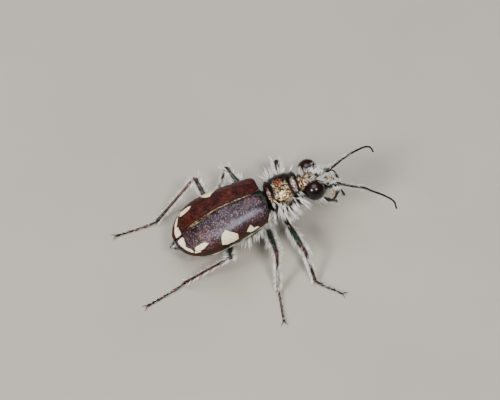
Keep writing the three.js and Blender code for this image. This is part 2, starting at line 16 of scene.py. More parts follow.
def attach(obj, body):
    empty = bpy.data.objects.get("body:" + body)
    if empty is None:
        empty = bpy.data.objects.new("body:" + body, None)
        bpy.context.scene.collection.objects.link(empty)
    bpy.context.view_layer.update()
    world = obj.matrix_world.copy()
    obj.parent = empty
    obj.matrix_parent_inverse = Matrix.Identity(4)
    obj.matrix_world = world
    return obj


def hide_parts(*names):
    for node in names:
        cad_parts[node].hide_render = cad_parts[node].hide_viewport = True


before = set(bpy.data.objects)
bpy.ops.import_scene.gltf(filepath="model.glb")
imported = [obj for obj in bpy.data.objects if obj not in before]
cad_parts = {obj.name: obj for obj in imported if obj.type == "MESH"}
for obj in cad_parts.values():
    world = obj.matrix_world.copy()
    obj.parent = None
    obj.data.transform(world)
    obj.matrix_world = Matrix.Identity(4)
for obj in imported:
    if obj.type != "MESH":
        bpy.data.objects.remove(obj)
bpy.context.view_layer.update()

# %% [markdown]
# ## Three frames
# A beetle is measured best along its own body, but it stands pitched up on its front legs and looks a
# little aside. Each plate is built straight, in millimetres from the front end of the wing-case seam, and
# one matrix carries it to where it stands. Turning the object instead would slide every pattern that
# reads its place.

# %% Frames of the stance, the body and the fore body
MM = 0.001
SEAM_FRONT_AT = (2.02, -0.6, 0)
STAND_HEIGHT = 5.2
PITCH = math.radians(-12)
LOOK_ASIDE = math.radians(-5.4)
STANCE = Matrix.Translation(SEAM_FRONT_AT)
BODY = STANCE @ Matrix.Translation((0, 0, STAND_HEIGHT)) @ Matrix.Rotation(PITCH, 4, "X")
FORE_BODY = BODY @ Matrix.Rotation(LOOK_ASIDE, 4, "Z")
SIDES = {"right": -1, "left": 1}


def carried(points, turn):
    """Points in millimetres of a frame, as metres where the model stands."""
    turn = np.array(turn)
    return (np.asarray(points, float) @ turn[:3, :3].T + turn[:3, 3]) * MM


def turned(ways, turn):
    """Directions of a frame, as directions where the model stands."""
    return np.asarray(ways, float) @ np.array(turn)[:3, :3].T


def from_stance(points, turn):
    """Points of the stance, as points of another frame."""
    back = np.array(turn.inverted() @ STANCE)
    return np.asarray(points, float) @ back[:3, :3].T + back[:3, 3]


print("seam front at, mm:", [round(1000 * v, 2) for v in carried([[0, 0, 0]], BODY)[0]])

# %% [markdown]
# ## Camera
# The photograph looks down on the right flank from a long way off for so small an animal, so its lines
# are nearly parallel. A long lens at a quarter of a metre does the same. The camera comes first because
# the size of a bristle or a pit is judged in its picture.

# %% Camera at the photograph's angle
# Degrees, then millimetres from the front end of the seam: back, to the right and up in the picture
CAMERA = {"azimuth": -111.7, "elevation": 54.6, "distance": 260, "aside": -0.825, "above": -0.59}
LENS = {"lens": 254, "sensor_width": 36, "clip_start": 0.01, "clip_end": 10}
azimuth = math.radians(CAMERA["azimuth"])
elevation = math.radians(CAMERA["elevation"])
right = Vector((math.cos(azimuth), math.sin(azimuth), 0))
level = math.cos(elevation)
back = Vector((math.sin(azimuth) * level, -math.cos(azimuth) * level, math.sin(elevation)))
up = back.cross(right)
seam_front = BODY.to_translation()
eye_point = seam_front + CAMERA["distance"] * back + CAMERA["aside"] * right + CAMERA["above"] * up
lens = bpy.data.cameras.new("camera")
for setting, value in LENS.items():
    setattr(lens, setting, value)
camera = bpy.data.objects.new("camera", lens)
camera.matrix_world = Matrix.Translation(eye_point * MM) @ Matrix((right, up, back)).transposed().to_4x4()
bpy.context.scene.collection.objects.link(camera)
bpy.context.scene.camera = camera
print("camera at, mm:", [round(v, 1) for v in eye_point])

# %% [markdown]
# ## Shader maths as expressions
# Every finish here is arithmetic on a place: how far along a plate, how far from the seam, how near an
# edge. Written as Python expressions it stays readable, so a small class wraps one output of a node and
# its operators add Math nodes. The same class builds the Geometry Nodes trees, which use the same Math
# node.


# %% Wire: one output of a node, with operators
class Wire:
    """One output of a node tree. Its operators add Math nodes."""

    def __init__(self, tree, socket):
        self.tree = tree
        self.socket = socket

    def maths(self, operation, *values):
        return add_node(self.tree, "ShaderNodeMath", {"operation": operation}, dict(enumerate(values)))

    def __add__(self, other):
        return self.maths("ADD", self, other)

    def __sub__(self, other):
        return self.maths("SUBTRACT", self, other)

    def __rsub__(self, other):
        return self.maths("SUBTRACT", other, self)

    def __mul__(self, other):
        return self.maths("MULTIPLY", self, other)

    def __pow__(self, other):
        return self.maths("POWER", self, other)

    def __rpow__(self, other):
        return self.maths("POWER", other, self)

    def __abs__(self):
        return self.maths("ABSOLUTE", self)

    def larger(self, other):
        return self.maths("MAXIMUM", self, other)

    __radd__ = __add__
    __rmul__ = __mul__


def add_node(tree, kind, settings=None, inputs=None, output=0):
    """Any node: its type, its settings, then the values or wires of its sockets."""
    node = tree.nodes.new(kind)
    for name, value in (settings or {}).items():
        if name == "stops":
            fill_ramp(node.color_ramp, value)
        else:
            setattr(node, name, value)
    for name, value in (inputs or {}).items():
        join(tree, value, node.inputs[name])
    return Wire(tree, node.outputs[output]) if node.outputs else node


def join(tree, value, socket):
    if isinstance(value, Wire):
        tree.links.new(value.socket, socket)
    else:
        socket.default_value = value


def fill_ramp(ramp, stops):
    while len(ramp.elements) < len(stops):
        ramp.elements.new(1)
    for element, (place, colour) in zip(ramp.elements, stops):
        element.position = place
        element.color = colour


def step(value, low, high):
    """0 below low, 1 above high, and smooth between."""
    inputs = {"Value": value, "From Min": low, "From Max": high}
    return add_node(value.tree, "ShaderNodeMapRange", {"interpolation_type": "SMOOTHSTEP"}, inputs)


def hill(value, middle, width):
    """1 near the middle, falling to 0 at a width from it."""
    return 1 - step(abs(value - middle), 0.3 * width, width)


print("operators ready:", [name for name in vars(Wire) if name.startswith("__r")])

# %% [markdown]
# ## A finish
# A beetle's shell is a dark plate under a clear waxy skin, and its metal colours come from layers in that
# skin. The Principled shader has both. The helper keeps constants on the shader's own sockets, and links
# only the colour, the roughness, the metal and the bump, which an export can bake.


# %% Finish: a material, its place on the piece and its noises
def linear(colour):
    """A web colour as the shader's linear colour. A wire stays as it is."""
    if isinstance(colour, Wire):
        return colour
    parts = [int(colour[i : i + 2], 16) / 255 for i in (1, 3, 5)]
    return tuple([((v + 0.055) / 1.055) ** 2.4 if v > 0.04045 else v / 12.92 for v in parts] + [1])


class Finish:
    """A material, with the inputs that its patterns read."""

    def __init__(self, name, constants=None):
        self.material = bpy.data.materials.new(name)
        self.material.use_nodes = True
        self.tree = self.material.node_tree
        self.shader = self.tree.nodes["Principled BSDF"]
        for socket, value in (constants or {}).items():
            self.shader.inputs[socket].default_value = value
        self.here = self.add("ShaderNodeTexCoord", output="Object")

    def add(self, kind, settings=None, inputs=None, output=0):
        return add_node(self.tree, kind, settings, inputs, output)

    def place(self):
        """The place on the piece, as three numbers that were stored when it was built."""
        stored = self.add("ShaderNodeAttribute", {"attribute_name": "place"}, output="Vector")
        return [self.add("ShaderNodeSeparateXYZ", inputs={0: stored}, output=axis) for axis in range(3)]

    def noise(self, per_mm, detail=2, stretch=(1, 1, 1), rough=0.5):
        where = self.add("ShaderNodeMapping", inputs={"Vector": self.here, "Scale": stretch})
        inputs = {"Vector": where, "Scale": per_mm / MM, "Detail": detail, "Roughness": rough}
        return self.add("ShaderNodeTexNoise", inputs=inputs)

    def cells(self, per_mm, output=0):
        return self.add("ShaderNodeTexVoronoi", {}, {"Vector": self.here, "Scale": per_mm / MM}, output)

    def grains(self, per_mm):
        """Two random numbers for each small cell of the surface."""
        colour = self.cells(per_mm, output=1)
        return [self.add("ShaderNodeSeparateXYZ", inputs={0: colour}, output=axis) for axis in (0, 1)]

    def blend(self, under, over, share):
        inputs = {0: share, 6: linear(under), 7: linear(over)}
        return self.add("ShaderNodeMix", {"data_type": "RGBA", "clamp_factor": True}, inputs, output=2)

    def ramp(self, value, *stops):
        stops = [(at, linear(code)) for at, code in stops]
        return self.add("ShaderNodeValToRGB", {"stops": stops}, {0: value})

    def bump(self, height, depth_mm, strength=1.0, normal=None):
        inputs = {"Height": height, "Distance": depth_mm * MM, "Strength": strength}
        if normal is not None:
            inputs["Normal"] = normal
        return self.add("ShaderNodeBump", inputs=inputs)

    def paint(self, base, rough=None, fine=None, metal=None):
        """Links the colour and, where given, the roughness, the bump and the metal."""
        links = {"Base Color": base, "Roughness": rough, "Normal": fine, "Metallic": metal}
        for name, value in links.items():
            if value is not None:
                join(self.tree, value, self.shader.inputs[name])
        return self.material


print("linear cream:", [round(v, 3) for v in linear("#e0d3b4")])

# %% [markdown]
# ## Skins over rings
# Every part of an insect's shell is a tube or a cap: a plate is a row of cross-sections, a limb is a
# circle carried along a line. Both come down to rings of points, so one function closes any row of rings
# into a skin with a pole at each end, and one turns skins into an object. Each point also stores its
# place on the piece, which the finishes read.


# %% Smooth tables and closed skins
def smooth_through(x, values, at):
    """Values at any place, on a smooth curve through a table."""
    x, values = np.asarray(x, float), np.asarray(values, float)
    before = np.maximum(np.arange(len(x)) - 1, 0)
    after = np.minimum(np.arange(len(x)) + 1, len(x) - 1)
    slope = (values[after] - values[before]) / (x[after] - x[before])[:, None]
    i = np.clip(np.searchsorted(x, at) - 1, 0, len(x) - 2)
    span = (x[i + 1] - x[i])[:, None]
    t = (np.clip(at, x[0], x[-1]) - x[i])[:, None] / span
    start, leave = 2 * t**3 - 3 * t**2 + 1, (t**3 - 2 * t**2 + t) * span
    end, arrive = 3 * t**2 - 2 * t**3, (t**3 - t**2) * span
    return start * values[i] + leave * slope[i] + end * values[i + 1] + arrive * slope[i + 1]


def from_rows(rows, at):
    """The columns of a table at any place, on a smooth curve through its rows."""
    rows = np.array(rows, float)
    return smooth_through(rows[:, 0], rows[:, 1:], at).T


def unit(ways):
    return ways / np.linalg.norm(ways, axis=-1, keepdims=True)


def whole_turn(count):
    """Angles evenly spaced round a circle."""
    return 2 * np.pi * np.arange(count) / count


def band_faces(count, sides):
    """Four-cornered faces between rings that follow one another."""
    first = np.arange(count - 1)[:, None] * sides
    here, beside = np.arange(sides), (np.arange(sides) + 1) % sides
    corners = [first + here, first + beside, first + beside + sides, first + here + sides]
    return [tuple(face) for face in np.stack(corners, axis=-1).reshape(-1, 4).tolist()]


def skin(rings, place=None):
    """Points, faces and stored places of a closed skin over rings, with a pole in each end."""
    count, sides = rings.shape[:2]
    place = rings if place is None else place
    points = np.concatenate([rings.reshape(-1, 3), rings[[0, -1]].mean(axis=1)])
    places = np.concatenate([place.reshape(-1, 3), place[[0, -1]].mean(axis=1)])
    faces = band_faces(count, sides)
    last = (count - 1) * sides
    for s in range(sides):
        faces.append(((s + 1) % sides, s, count * sides))
        faces.append((last + s, last + (s + 1) % sides, count * sides + 1))
    return points, faces, places


print("faces of a skin over 3 rings of 8 points:", len(skin(np.zeros((3, 8, 3)))[1]))


# %% Pieces made of skins
def object_from(name, points, faces):
    mesh = bpy.data.meshes.new(name)
    mesh.from_pydata(points.tolist(), [], faces)
    made = bpy.data.objects.new(name, mesh)
    bpy.context.scene.collection.objects.link(made)
    return made


def piece(name, skins, turn, material, nodes=()):
    """One finished object from closed skins in the millimetres of a frame."""
    starts = np.cumsum([0] + [len(points) for points, _, _ in skins])
    faces = [tuple(v + start for v in face) for start, (_, own, _) in zip(starts, skins) for face in own]
    made = object_from(name, carried(np.concatenate([s[0] for s in skins]), turn), faces)
    stored = made.data.attributes.new("place", "FLOAT_VECTOR", "POINT")
    stored.data.foreach_set("vector", np.concatenate([s[2] for s in skins]).astype(np.float32).ravel())
    facing = bmesh.new()
    facing.from_mesh(made.data)
    bmesh.ops.recalc_face_normals(facing, faces=facing.faces)
    facing.to_mesh(made.data)
    facing.free()
    return finish_piece(made, material, nodes)


def finish_piece(made, material, nodes=()):
    made.data.materials.clear()
    made.data.materials.append(material)
    made.data.shade_smooth()
    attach(made, "root")
    if nodes:
        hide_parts(*nodes)
    print(f"{made.name}: {len(made.data.polygons)} faces")
    return made


# %% [markdown]
# ## Plates from rows of sections
# A plate's sections are rounder than a box and squarer than an ellipse, so each is a superellipse with
# its own half width, top, widest line and underside. A relief function pushes the skin in or out for
# furrows, ridges and dents. Sculpting could do the same, but a relief keeps its numbers and can be
# mended.


# %% Plates
END_DOME = 0.12
END_RINGS = 6


def section(rows, y, angle):
    """Points of a plate at places along it and angles round it, with the way outwards there."""
    half, top, widest, bottom, square = from_rows(rows, y)[..., None]
    across = np.sign(np.cos(angle)) * np.abs(np.cos(angle)) ** (2 / square)
    rise = np.sign(np.sin(angle)) * np.abs(np.sin(angle)) ** (2 / square)
    deep = np.where(rise > 0, top - widest, widest - bottom)
    place = np.broadcast_to(y[:, None], across.shape)
    points = np.stack([half * across, place, widest + deep * rise], axis=-1)
    out = np.stack([across / half, 0 * across, rise / deep], axis=-1)
    return points, unit(out)


def plate(rows, relief, stations, sides, dome=END_DOME):
    """A plate's skin, with domed ends."""
    y = np.linspace(rows[0][0], rows[-1][0], stations)
    angle = 2 * np.pi * (np.arange(sides) + 0.5)[None, :] / sides
    rings, out = section(rows, y, angle)
    rings = rings + out * relief(rings, np.broadcast_to(angle, rings.shape[:2]))[..., None]
    turns = np.linspace(0, np.pi / 2, END_RINGS + 2)[1:-1]
    ends = []
    for ring, way in ((rings[0], -1), (rings[-1], 1)):
        middle = ring.mean(axis=0)
        domed = [middle + (ring - middle) * math.cos(t) + [0, way * dome * math.sin(t), 0] for t in turns]
        ends.append(domed)
    return skin(np.concatenate([ends[0][::-1], rings, ends[1]]))


def bell(value, middle, width):
    return np.exp(-(((value - middle) / width) ** 2))


def swell(x, y, height, across=None, along=None, bow=0.0):
    """A ridge, or below 0 a furrow. across and along are (middle, width), and bow bends it at its sides."""
    shape = height
    if across:
        shape = shape * bell(np.abs(x), *across)
    if along:
        shape = shape * bell(y, along[0] + bow * x**2, along[1])
    return shape


def relief_of(forms, seams=(), seam_depth=0.0, seam_width=0.05):
    """A relief: named forms above, below or all round, and seams at angles round it, in degrees."""

    def relief(points, angle):
        parts = {"above": np.sin(angle) > 0, "below": np.sin(angle) < 0, "round": 1}
        depth = 0 * angle
        for part, *form in forms.values():
            depth = depth + swell(points[..., 0], points[..., 1], *form) * parts[part]
        for at in seams:
            depth = depth - seam_depth * bell(angle, np.radians(at), seam_width)
        return depth

    return relief


print("height half a width from the top of a ridge:", round(float(swell(0.5, 0, 1.0, (0, 1))), 2))

# %% [markdown]
# ## Wing cases
# The wing cases are what one sees first: two hard, domed shells that meet in a straight seam. The shells
# are thin, with a rolled rim below the margin, a bead along the seam, a swelling on each shoulder and a
# dent inside it. Their sections follow the solids' own rows, so the outline of the photograph is kept.

# %% Sizes of the wing cases
# Place along the seam, half width, height of the margin and of the seam
WING_CASE_ROWS = np.array([
    [0.05, 1.66, -0.8, -0.02], [0.25, 1.9, -0.92, 0.1], [0.6, 2.05, -1.04, 0.2],
    [1.2, 2.16, -1.15, 0.32], [2.4, 2.3, -1.25, 0.44], [3.6, 2.41, -1.31, 0.4],
    [4.7, 2.43, -1.35, 0.16], [5.5, 2.3, -1.36, -0.12], [6.15, 2.02, -1.36, -0.42],
    [6.65, 1.64, -1.36, -0.72], [7.0, 1.22, -1.35, -0.96], [7.2, 0.84, -1.34, -1.1],
    [7.32, 0.56, -1.33, -1.16],
])
# A bead stands along the seam, a groove some bead widths outside it, and a notch parts the tips
SEAM = {"half_gap": 0.012, "bead": 0.05, "rise": 0.02, "groove": 0.018, "groove_at": 2.2}
NOTCH_FROM = 6.6
NOTCH = 0.16
# The plate between the roots of the wing cases, and how far the shells stay from it
SHIELD = {"half_width": 0.34, "length": 0.62, "side_gap": 0.03, "end_gap": 0.1}
# The wall gets thinner where it would be more than a share of the half width
SHELL = {"wall": 0.11, "wall_share": 0.25, "square": 2.4, "rim": 0.13}
# Stations stand closer towards the tip, and even is the share of an even spacing in theirs
SHELL_MESH = {"stations": 190, "across": 96, "even": 0.45}
SHOULDER = {"swelling": (0.06, (1.5, 0.3), (0.62, 0.42)), "dent": (-0.05, (0.95, 0.26), (0.5, 0.34))}
# Height, share of the way out and width of the lip of the rim and of the groove inside it
RIM_LIP = (0.02, 1.0, 0.02)
RIM_GROOVE = (-0.02, 0.955, 0.018)
ROLL_TURNS = (0.5, 1.0, 1.5)
ROLL_SHARES = (1.02, 1.04, 1.06)
length, width = np.ptp(WING_CASE_ROWS[:, 0]), 2 * WING_CASE_ROWS[:, 1].max()
print(f"wing cases {length:.2f} mm long and {width:.2f} mm wide")


# %% Wing-case shells
def wing_case_sections(y, share, side, depth=0.0):
    """Points of one shell at places along it, for shares of the way from the seam to the margin."""
    half, margin, crest = from_rows(WING_CASE_ROWS, y)[..., None]
    shield = np.clip(1 - y / (SHIELD["length"] + SHIELD["end_gap"]), 0, 1)[:, None]
    shield = shield * (SHIELD["half_width"] + SHIELD["side_gap"])
    late = np.clip((y - NOTCH_FROM) / (WING_CASE_ROWS[-1, 0] - NOTCH_FROM), 0, 1)[:, None]
    start = SEAM["half_gap"] + shield + NOTCH * late**2
    turn = share[None, :] * np.pi / 2
    x = start + (half - depth - start) * np.sin(turn) ** (2 / SHELL["square"])
    z = margin + (crest - depth - margin) * np.cos(turn) ** (2 / SHELL["square"])
    place = y[:, None] + 0 * x
    shoulder = sum(swell(x, place, *form) for form in SHOULDER.values())
    groove = SEAM["groove"] * bell(x - start, SEAM["groove_at"] * SEAM["bead"], SEAM["bead"])
    bead = SEAM["rise"] * bell(x - start, 0, SEAM["bead"]) - groove
    rim = sum(height * bell(share[None, :], at, width) for height, at, width in (RIM_LIP, RIM_GROOVE))
    return np.stack([side * (x + rim), place, z + shoulder + bead], axis=-1)


def wing_case(side):
    """A closed shell: the outside, the rolled rim below the margin, and the inside."""
    along = np.linspace(0, 1, SHELL_MESH["stations"])
    even = SHELL_MESH["even"]
    spaced = even * along + (1 - even) * np.sin(along * np.pi / 2)
    y = WING_CASE_ROWS[0, 0] + np.ptp(WING_CASE_ROWS[:, 0]) * spaced
    share = np.linspace(0, 1, SHELL_MESH["across"])
    outside = wing_case_sections(y, share, side)
    half = from_rows(WING_CASE_ROWS, y)[0][:, None]
    wall = np.minimum(SHELL["wall"], SHELL["wall_share"] * half)
    inside = wing_case_sections(y, share, side, wall)[:, ::-1]
    edge = outside[:, -1:]
    roll = SHELL["rim"]
    rolled = [edge + [-side * roll * (1 - math.cos(t)), 0, -roll * math.sin(t)] for t in ROLL_TURNS]
    rings = np.concatenate([outside, *rolled, inside], axis=1)
    shares = np.concatenate([share, ROLL_SHARES, share[::-1]])
    from_seam = np.abs(rings[..., 0]) - np.abs(rings[:, :1, 0])
    place = np.stack([np.broadcast_to(shares, rings.shape[:2]), rings[..., 1], from_seam], axis=-1)
    return skin(rings, place)


print("points of one shell:", len(wing_case(1)[0]))

# %% [markdown]
# ## Head, neck shield, chest and abdomen
# The fore body carries the colours of old bronze over deep furrows. Two furrows cross the neck shield
# near its front and rear, with a ridge beyond each, and a faint line runs along its middle. Between the
# eyes the crown of the head sinks a little, between two raised brows.

# %% Rows of the body plates
# Place along the body, half width, heights of the top, the widest line and the underside, and squareness
HEAD_ROWS = [
    [-4.84, 0.5, -1.22, -1.46, -1.7, 2.2], [-4.74, 0.64, -1.02, -1.42, -1.82, 2.4],
    [-4.56, 0.76, -0.82, -1.36, -1.92, 2.4], [-4.35, 0.84, -0.58, -1.3, -2.02, 2.4],
    [-4.05, 0.86, -0.32, -1.24, -2.22, 2.4], [-3.7, 0.86, -0.16, -1.2, -2.32, 2.4],
    [-3.4, 0.92, -0.12, -1.14, -2.28, 2.3], [-3.18, 1.02, -0.14, -1.1, -2.15, 2.2],
    [-3.05, 1.0, -0.22, -1.08, -2.0, 2.2], [-2.85, 0.8, -0.3, -1.05, -1.85, 2.2],
    [-2.6, 0.78, -0.3, -1.05, -1.8, 2.2],
]
NECK_SHIELD_ROWS = [
    [-2.72, 1.08, -0.12, -0.98, -1.75, 2.3], [-2.6, 1.21, -0.01, -0.98, -1.95, 2.3],
    [-2.46, 1.24, 0.03, -0.98, -2.0, 2.3], [-2.28, 1.24, 0.0, -1.0, -2.05, 2.3],
    [-2.02, 1.34, 0.07, -1.0, -2.15, 2.3], [-1.55, 1.4, 0.12, -1.02, -2.2, 2.3],
    [-1.1, 1.36, 0.11, -1.05, -2.2, 2.3], [-0.8, 1.27, 0.05, -1.08, -2.15, 2.3],
    [-0.66, 1.2, -0.02, -1.1, -2.1, 2.3], [-0.5, 1.2, -0.02, -1.1, -2.0, 2.3],
    [-0.38, 1.16, -0.06, -1.1, -1.95, 2.3], [-0.26, 1.0, -0.2, -1.1, -1.8, 2.3],
]
CHEST_ROWS = [
    [-0.2, 0.8, -0.7, -1.3, -1.9, 2.2], [0.06, 0.95, -0.66, -1.5, -2.2, 2.2],
    [0.3, 1.12, -0.6, -1.6, -2.36, 2.2], [0.7, 1.4, -0.56, -1.72, -2.5, 2.2],
    [1.4, 1.72, -0.5, -1.86, -2.62, 2.2], [2.2, 1.78, -0.48, -1.9, -2.62, 2.2],
    [2.9, 1.64, -0.5, -1.92, -2.54, 2.2], [3.6, 1.3, -0.58, -1.6, -2.38, 2.2],
]
ABDOMEN_ROWS = [
    [3.4, 1.34, -0.66, -1.3, -2.28, 2.2], [3.75, 1.5, -0.58, -1.36, -2.46, 2.2],
    [4.4, 1.56, -0.66, -1.4, -2.48, 2.2], [5.1, 1.5, -0.86, -1.44, -2.42, 2.2],
    [5.8, 1.26, -1.12, -1.54, -2.36, 2.2], [6.4, 0.96, -1.4, -1.66, -2.26, 2.2],
    [6.9, 0.66, -1.5, -1.76, -2.14, 2.2], [7.3, 0.46, -1.5, -1.78, -2.04, 2.1],
    [7.56, 0.27, -1.56, -1.76, -1.92, 2.0], [7.68, 0.12, -1.66, -1.75, -1.82, 2.0],
]
ABDOMEN_JOINTS = np.array([3.4, 4.3, 5.02, 5.72, 6.36, 6.94, 7.4, 8])
for rows in (HEAD_ROWS, NECK_SHIELD_ROWS, CHEST_ROWS, ABDOMEN_ROWS):
    widest = 2 * max(row[1] for row in rows)
    print(f"a plate {rows[-1][0] - rows[0][0]:.2f} mm long and {widest:.2f} mm wide")

# %% Reliefs of the body plates
# The part of the plate, the height, where across and along it the form lies as (middle, width), its bow
CROWN_FORMS = {
    "brows": ("above", 0.07, (0.62, 0.12), (-3.85, 0.62)),
    "hollow_between_eyes": ("above", -0.09, (0, 0.36), (-3.85, 0.62)),
    "seam_of_the_lip": ("round", -0.02, None, (-4.5, 0.05)),
}
NECK_SHIELD_FORMS = {
    "front_furrow": ("round", -0.05, None, (-2.25, 0.09), -0.06),
    "rear_furrow": ("round", -0.045, None, (-0.7, 0.08), 0.05),
    "lobes": ("above", 0.05, (0.66, 0.34), (-1.5, 0.5)),
    "rear_corners": ("above", 0.05, (0.98, 0.2), (-0.45, 0.12)),
}
CHEST_FORMS = {
    "front_seam": ("below", -0.05, None, (0.98, 0.04)),
    "rear_seam": ("below", -0.04, None, (2.62, 0.04)),
    "keel_furrow": ("below", -0.05, (0, 0.05)),
}
MIDDLE_LINE = {"height": -0.035, "across": (0, 0.045)}
MIDDLE_LINE_FROM = -2.3
MIDDLE_LINE_FADE = 0.25
FOLDS = {"height": 0.006, "along": 46, "outwards": 9, "waver": 5, "waver_across": 3}
BELLY_RING = {"flare": 0.035, "groove": -0.03, "groove_at": (0.04, 0.06)}
neck_shield_forms = relief_of(NECK_SHIELD_FORMS, seams=(352, 188), seam_depth=0.05)
crown_relief = relief_of(CROWN_FORMS)
chest_relief = relief_of(CHEST_FORMS, seams=(350, 190), seam_depth=0.04, seam_width=0.04)


def neck_shield_relief(points, angle):
    """The forms of the shield, its middle line and its fine cross folds."""
    x, y = points[..., 0], points[..., 1]
    fade = np.clip((y - MIDDLE_LINE_FROM) / MIDDLE_LINE_FADE, 0, 1)
    middle_line = swell(x, y, **MIDDLE_LINE) * fade
    waver = FOLDS["waver"] * np.sin(FOLDS["waver_across"] * x)
    folds = FOLDS["height"] * np.sin(FOLDS["along"] * y + waver + FOLDS["outwards"] * np.abs(x))
    return neck_shield_forms(points, angle) + (middle_line + folds) * (np.sin(angle) > 0)


def abdomen_relief(points, angle):
    """Each ring of the belly flares towards its rear edge, and laps over a groove."""
    y = points[..., 1]
    i = np.clip(np.searchsorted(ABDOMEN_JOINTS, y) - 1, 0, len(ABDOMEN_JOINTS) - 2)
    share = (y - ABDOMEN_JOINTS[i]) / (ABDOMEN_JOINTS[i + 1] - ABDOMEN_JOINTS[i])
    return BELLY_RING["flare"] * share**3 + BELLY_RING["groove"] * bell(share, *BELLY_RING["groove_at"])


print("forms:", len(CROWN_FORMS), "on the crown,", len(NECK_SHIELD_FORMS), "on the neck shield")

# %% [markdown]
# ## Limbs along a route
# A leg segment, a palp or a jaw is a tube whose width changes along a bent line. The tube needs a frame
# that doesn't twist, so its deep way stays in the plane in which the limb stands. A table of widths at
# shares of the length shapes each kind of segment.


# %% Tubes along routes
ROUTE_STEPS = 500
# Radii in millimetres: the least, and the least that an end is rounded with. An end stays a little blunt
THINNEST = 0.004
THINNEST_END = 0.01
BLUNTNESS = 0.02


def route(points, stations):
    """Points and ways along a smooth line, evenly spaced."""
    points = np.array(points, float)
    knots = np.concatenate([[0], np.cumsum(np.sqrt(np.linalg.norm(np.diff(points, axis=0), axis=1)))])
    fine = smooth_through(knots, points, np.linspace(0, knots[-1], ROUTE_STEPS))
    length = np.concatenate([[0], np.cumsum(np.linalg.norm(np.diff(fine, axis=0), axis=1))])
    even = np.linspace(0, length[-1], stations)
    line = np.stack([np.interp(even, length, fine[:, k]) for k in range(3)], axis=1)
    return line, unit(np.gradient(line, axis=0)), length[-1]


def tube_frame(line, along):
    """The level way beside a limb, and the deep way across both."""
    level = np.cross(line[-1] - line[0], [0, 0, 1])
    deep = unit(np.cross(unit(level), along))
    return np.cross(along, deep), deep


def tube(points, widths, sides, stations, flat=1.0, kind=0.0):
    """A round-ended tube. widths are (share of the length, radius) and flat narrows it sideways."""
    line, along, total = route(points, stations)
    beside, deep = tube_frame(line, along)
    share = np.linspace(0, 1, stations)
    radius = np.maximum(from_rows(widths, share)[0], THINNEST)
    end = np.minimum(share, 1 - share) * total / np.maximum(radius, THINNEST_END)
    radius = radius * np.sqrt(np.clip(1 - (1 - np.clip(end, 0, 1)) ** 2, BLUNTNESS, 1))
    angle = whole_turn(sides)
    wide = beside[:, None] * (np.cos(angle) * flat)[None, :, None]
    high = deep[:, None] * np.sin(angle)[None, :, None]
    rings = line[:, None] + (wide + high) * radius[:, None, None]
    place = [np.broadcast_to(v, rings.shape[:2]) for v in (share[:, None], angle[None, :], kind)]
    return skin(rings, np.stack(place, axis=-1))


def ball(centre, half, sides=48, stations=30):
    """An ellipsoid's skin, with its poles at the sides."""
    turn = np.linspace(0, np.pi, stations)[1:-1]
    angle = whole_turn(sides)
    x = np.broadcast_to(-np.cos(turn)[:, None], (len(turn), sides))
    radius = np.sin(turn)[:, None]
    rings = np.stack([x, radius * np.cos(angle), radius * np.sin(angle)], axis=-1)
    return skin(rings * half + centre)


print("a bent route's length, mm:", round(route([[0, 0, 0], [1, 1, 0], [2, 0, 0]], 20)[2], 2))

# %% [markdown]
# ## Finish of the wing cases
# The wing cases are a dark mahogany brown under a satin skin, with a thread of gold along the seam, a
# pale metallic rim and bone-white spots. The spots belong to the shell, so they are drawn in the shell's
# own measures, how far along the seam and what share of the way out, as patches with straight sides and
# slightly uneven edges. A drawn image would do as well, but patches keep crisp at any size.

# %% Spots of the wing cases
# Corners in order round each patch: place along the seam in millimetres, share of the way out
SPOTS = {
    "shoulder": [(-0.1, 0.83), (0.14, 0.82), (0.4, 0.95), (0.42, 1.08), (-0.1, 1.08)],
    "behind_shoulder": [(1.78, 0.71), (1.6, 0.85), (1.5, 0.94), (1.9, 0.93), (2.19, 0.84), (2.0, 0.77)],
    "shoulder_tail": [(1.65, 0.85), (1.26, 0.88), (1.22, 0.94), (1.6, 0.94)],
    "middle": [
        (3.6, 0.5), (2.87, 0.74), (2.97, 0.91), (3.38, 0.905), (3.89, 0.88), (4.23, 0.82), (4.13, 0.64),
        (3.89, 0.54),
    ],
    "near_tip": [
        (6.2, 0.61), (6.03, 0.54), (5.59, 0.5), (5.33, 0.52), (5.13, 0.57), (5.33, 0.62), (5.67, 0.68),
        (6.08, 0.71),
    ],
    "tip": [(6.64, 0.1), (6.68, 0.38), (6.9, 0.52), (7.05, 0.36), (7.08, 0.08)],
    "tip_tail": [(6.62, 0.4), (6.46, 0.6), (6.2, 0.74), (6.5, 0.75), (6.8, 0.62), (6.96, 0.46)],
    "tip_line": [(6.25, 0.72), (5.9, 0.72), (5.9, 0.76), (6.3, 0.79)],
}
# Millimetres from the seam to the margin, and how far in each side's spots lie, apart from the shoulder's
SHARE_MM = 3.4
SPOT_SHIFT = {"right": 0.02, "left": 0.15}


def patch(along, out, corners, uneven, shift):
    """A mask that is 1 inside a patch with straight sides, by the distance from the nearest of them."""
    centre = np.mean(corners, axis=0)
    deepest = None
    for (y0, s0), (y1, s1) in zip(corners, corners[1:] + corners[:1]):
        way = unit(np.array([(s1 - s0) * SHARE_MM, -(y1 - y0)]))
        if way @ [centre[0] - y0, (centre[1] - s0) * SHARE_MM] > 0:
            way = -way
        outside = (along - y0) * way[0] + (out - (s0 - shift)) * (way[1] * SHARE_MM)
        deepest = outside if deepest is None else deepest.larger(outside)
    return 1 - step(deepest + uneven, -0.02, 0.035)


def shell_spots(finish, along, out, side_name):
    """The mask of all the spots of one side."""
    uneven = (finish.noise(5, detail=3) - 0.5) * 0.16
    spots = None
    for key, corners in SPOTS.items():
        shift = 0 if key == "shoulder" else SPOT_SHIFT[side_name]
        mask = patch(along, out, corners, uneven, shift)
        spots = mask if spots is None else spots.larger(mask)
    return spots


print("spots:", len(SPOTS), "patches with", sum(len(c) for c in SPOTS.values()), "corners")

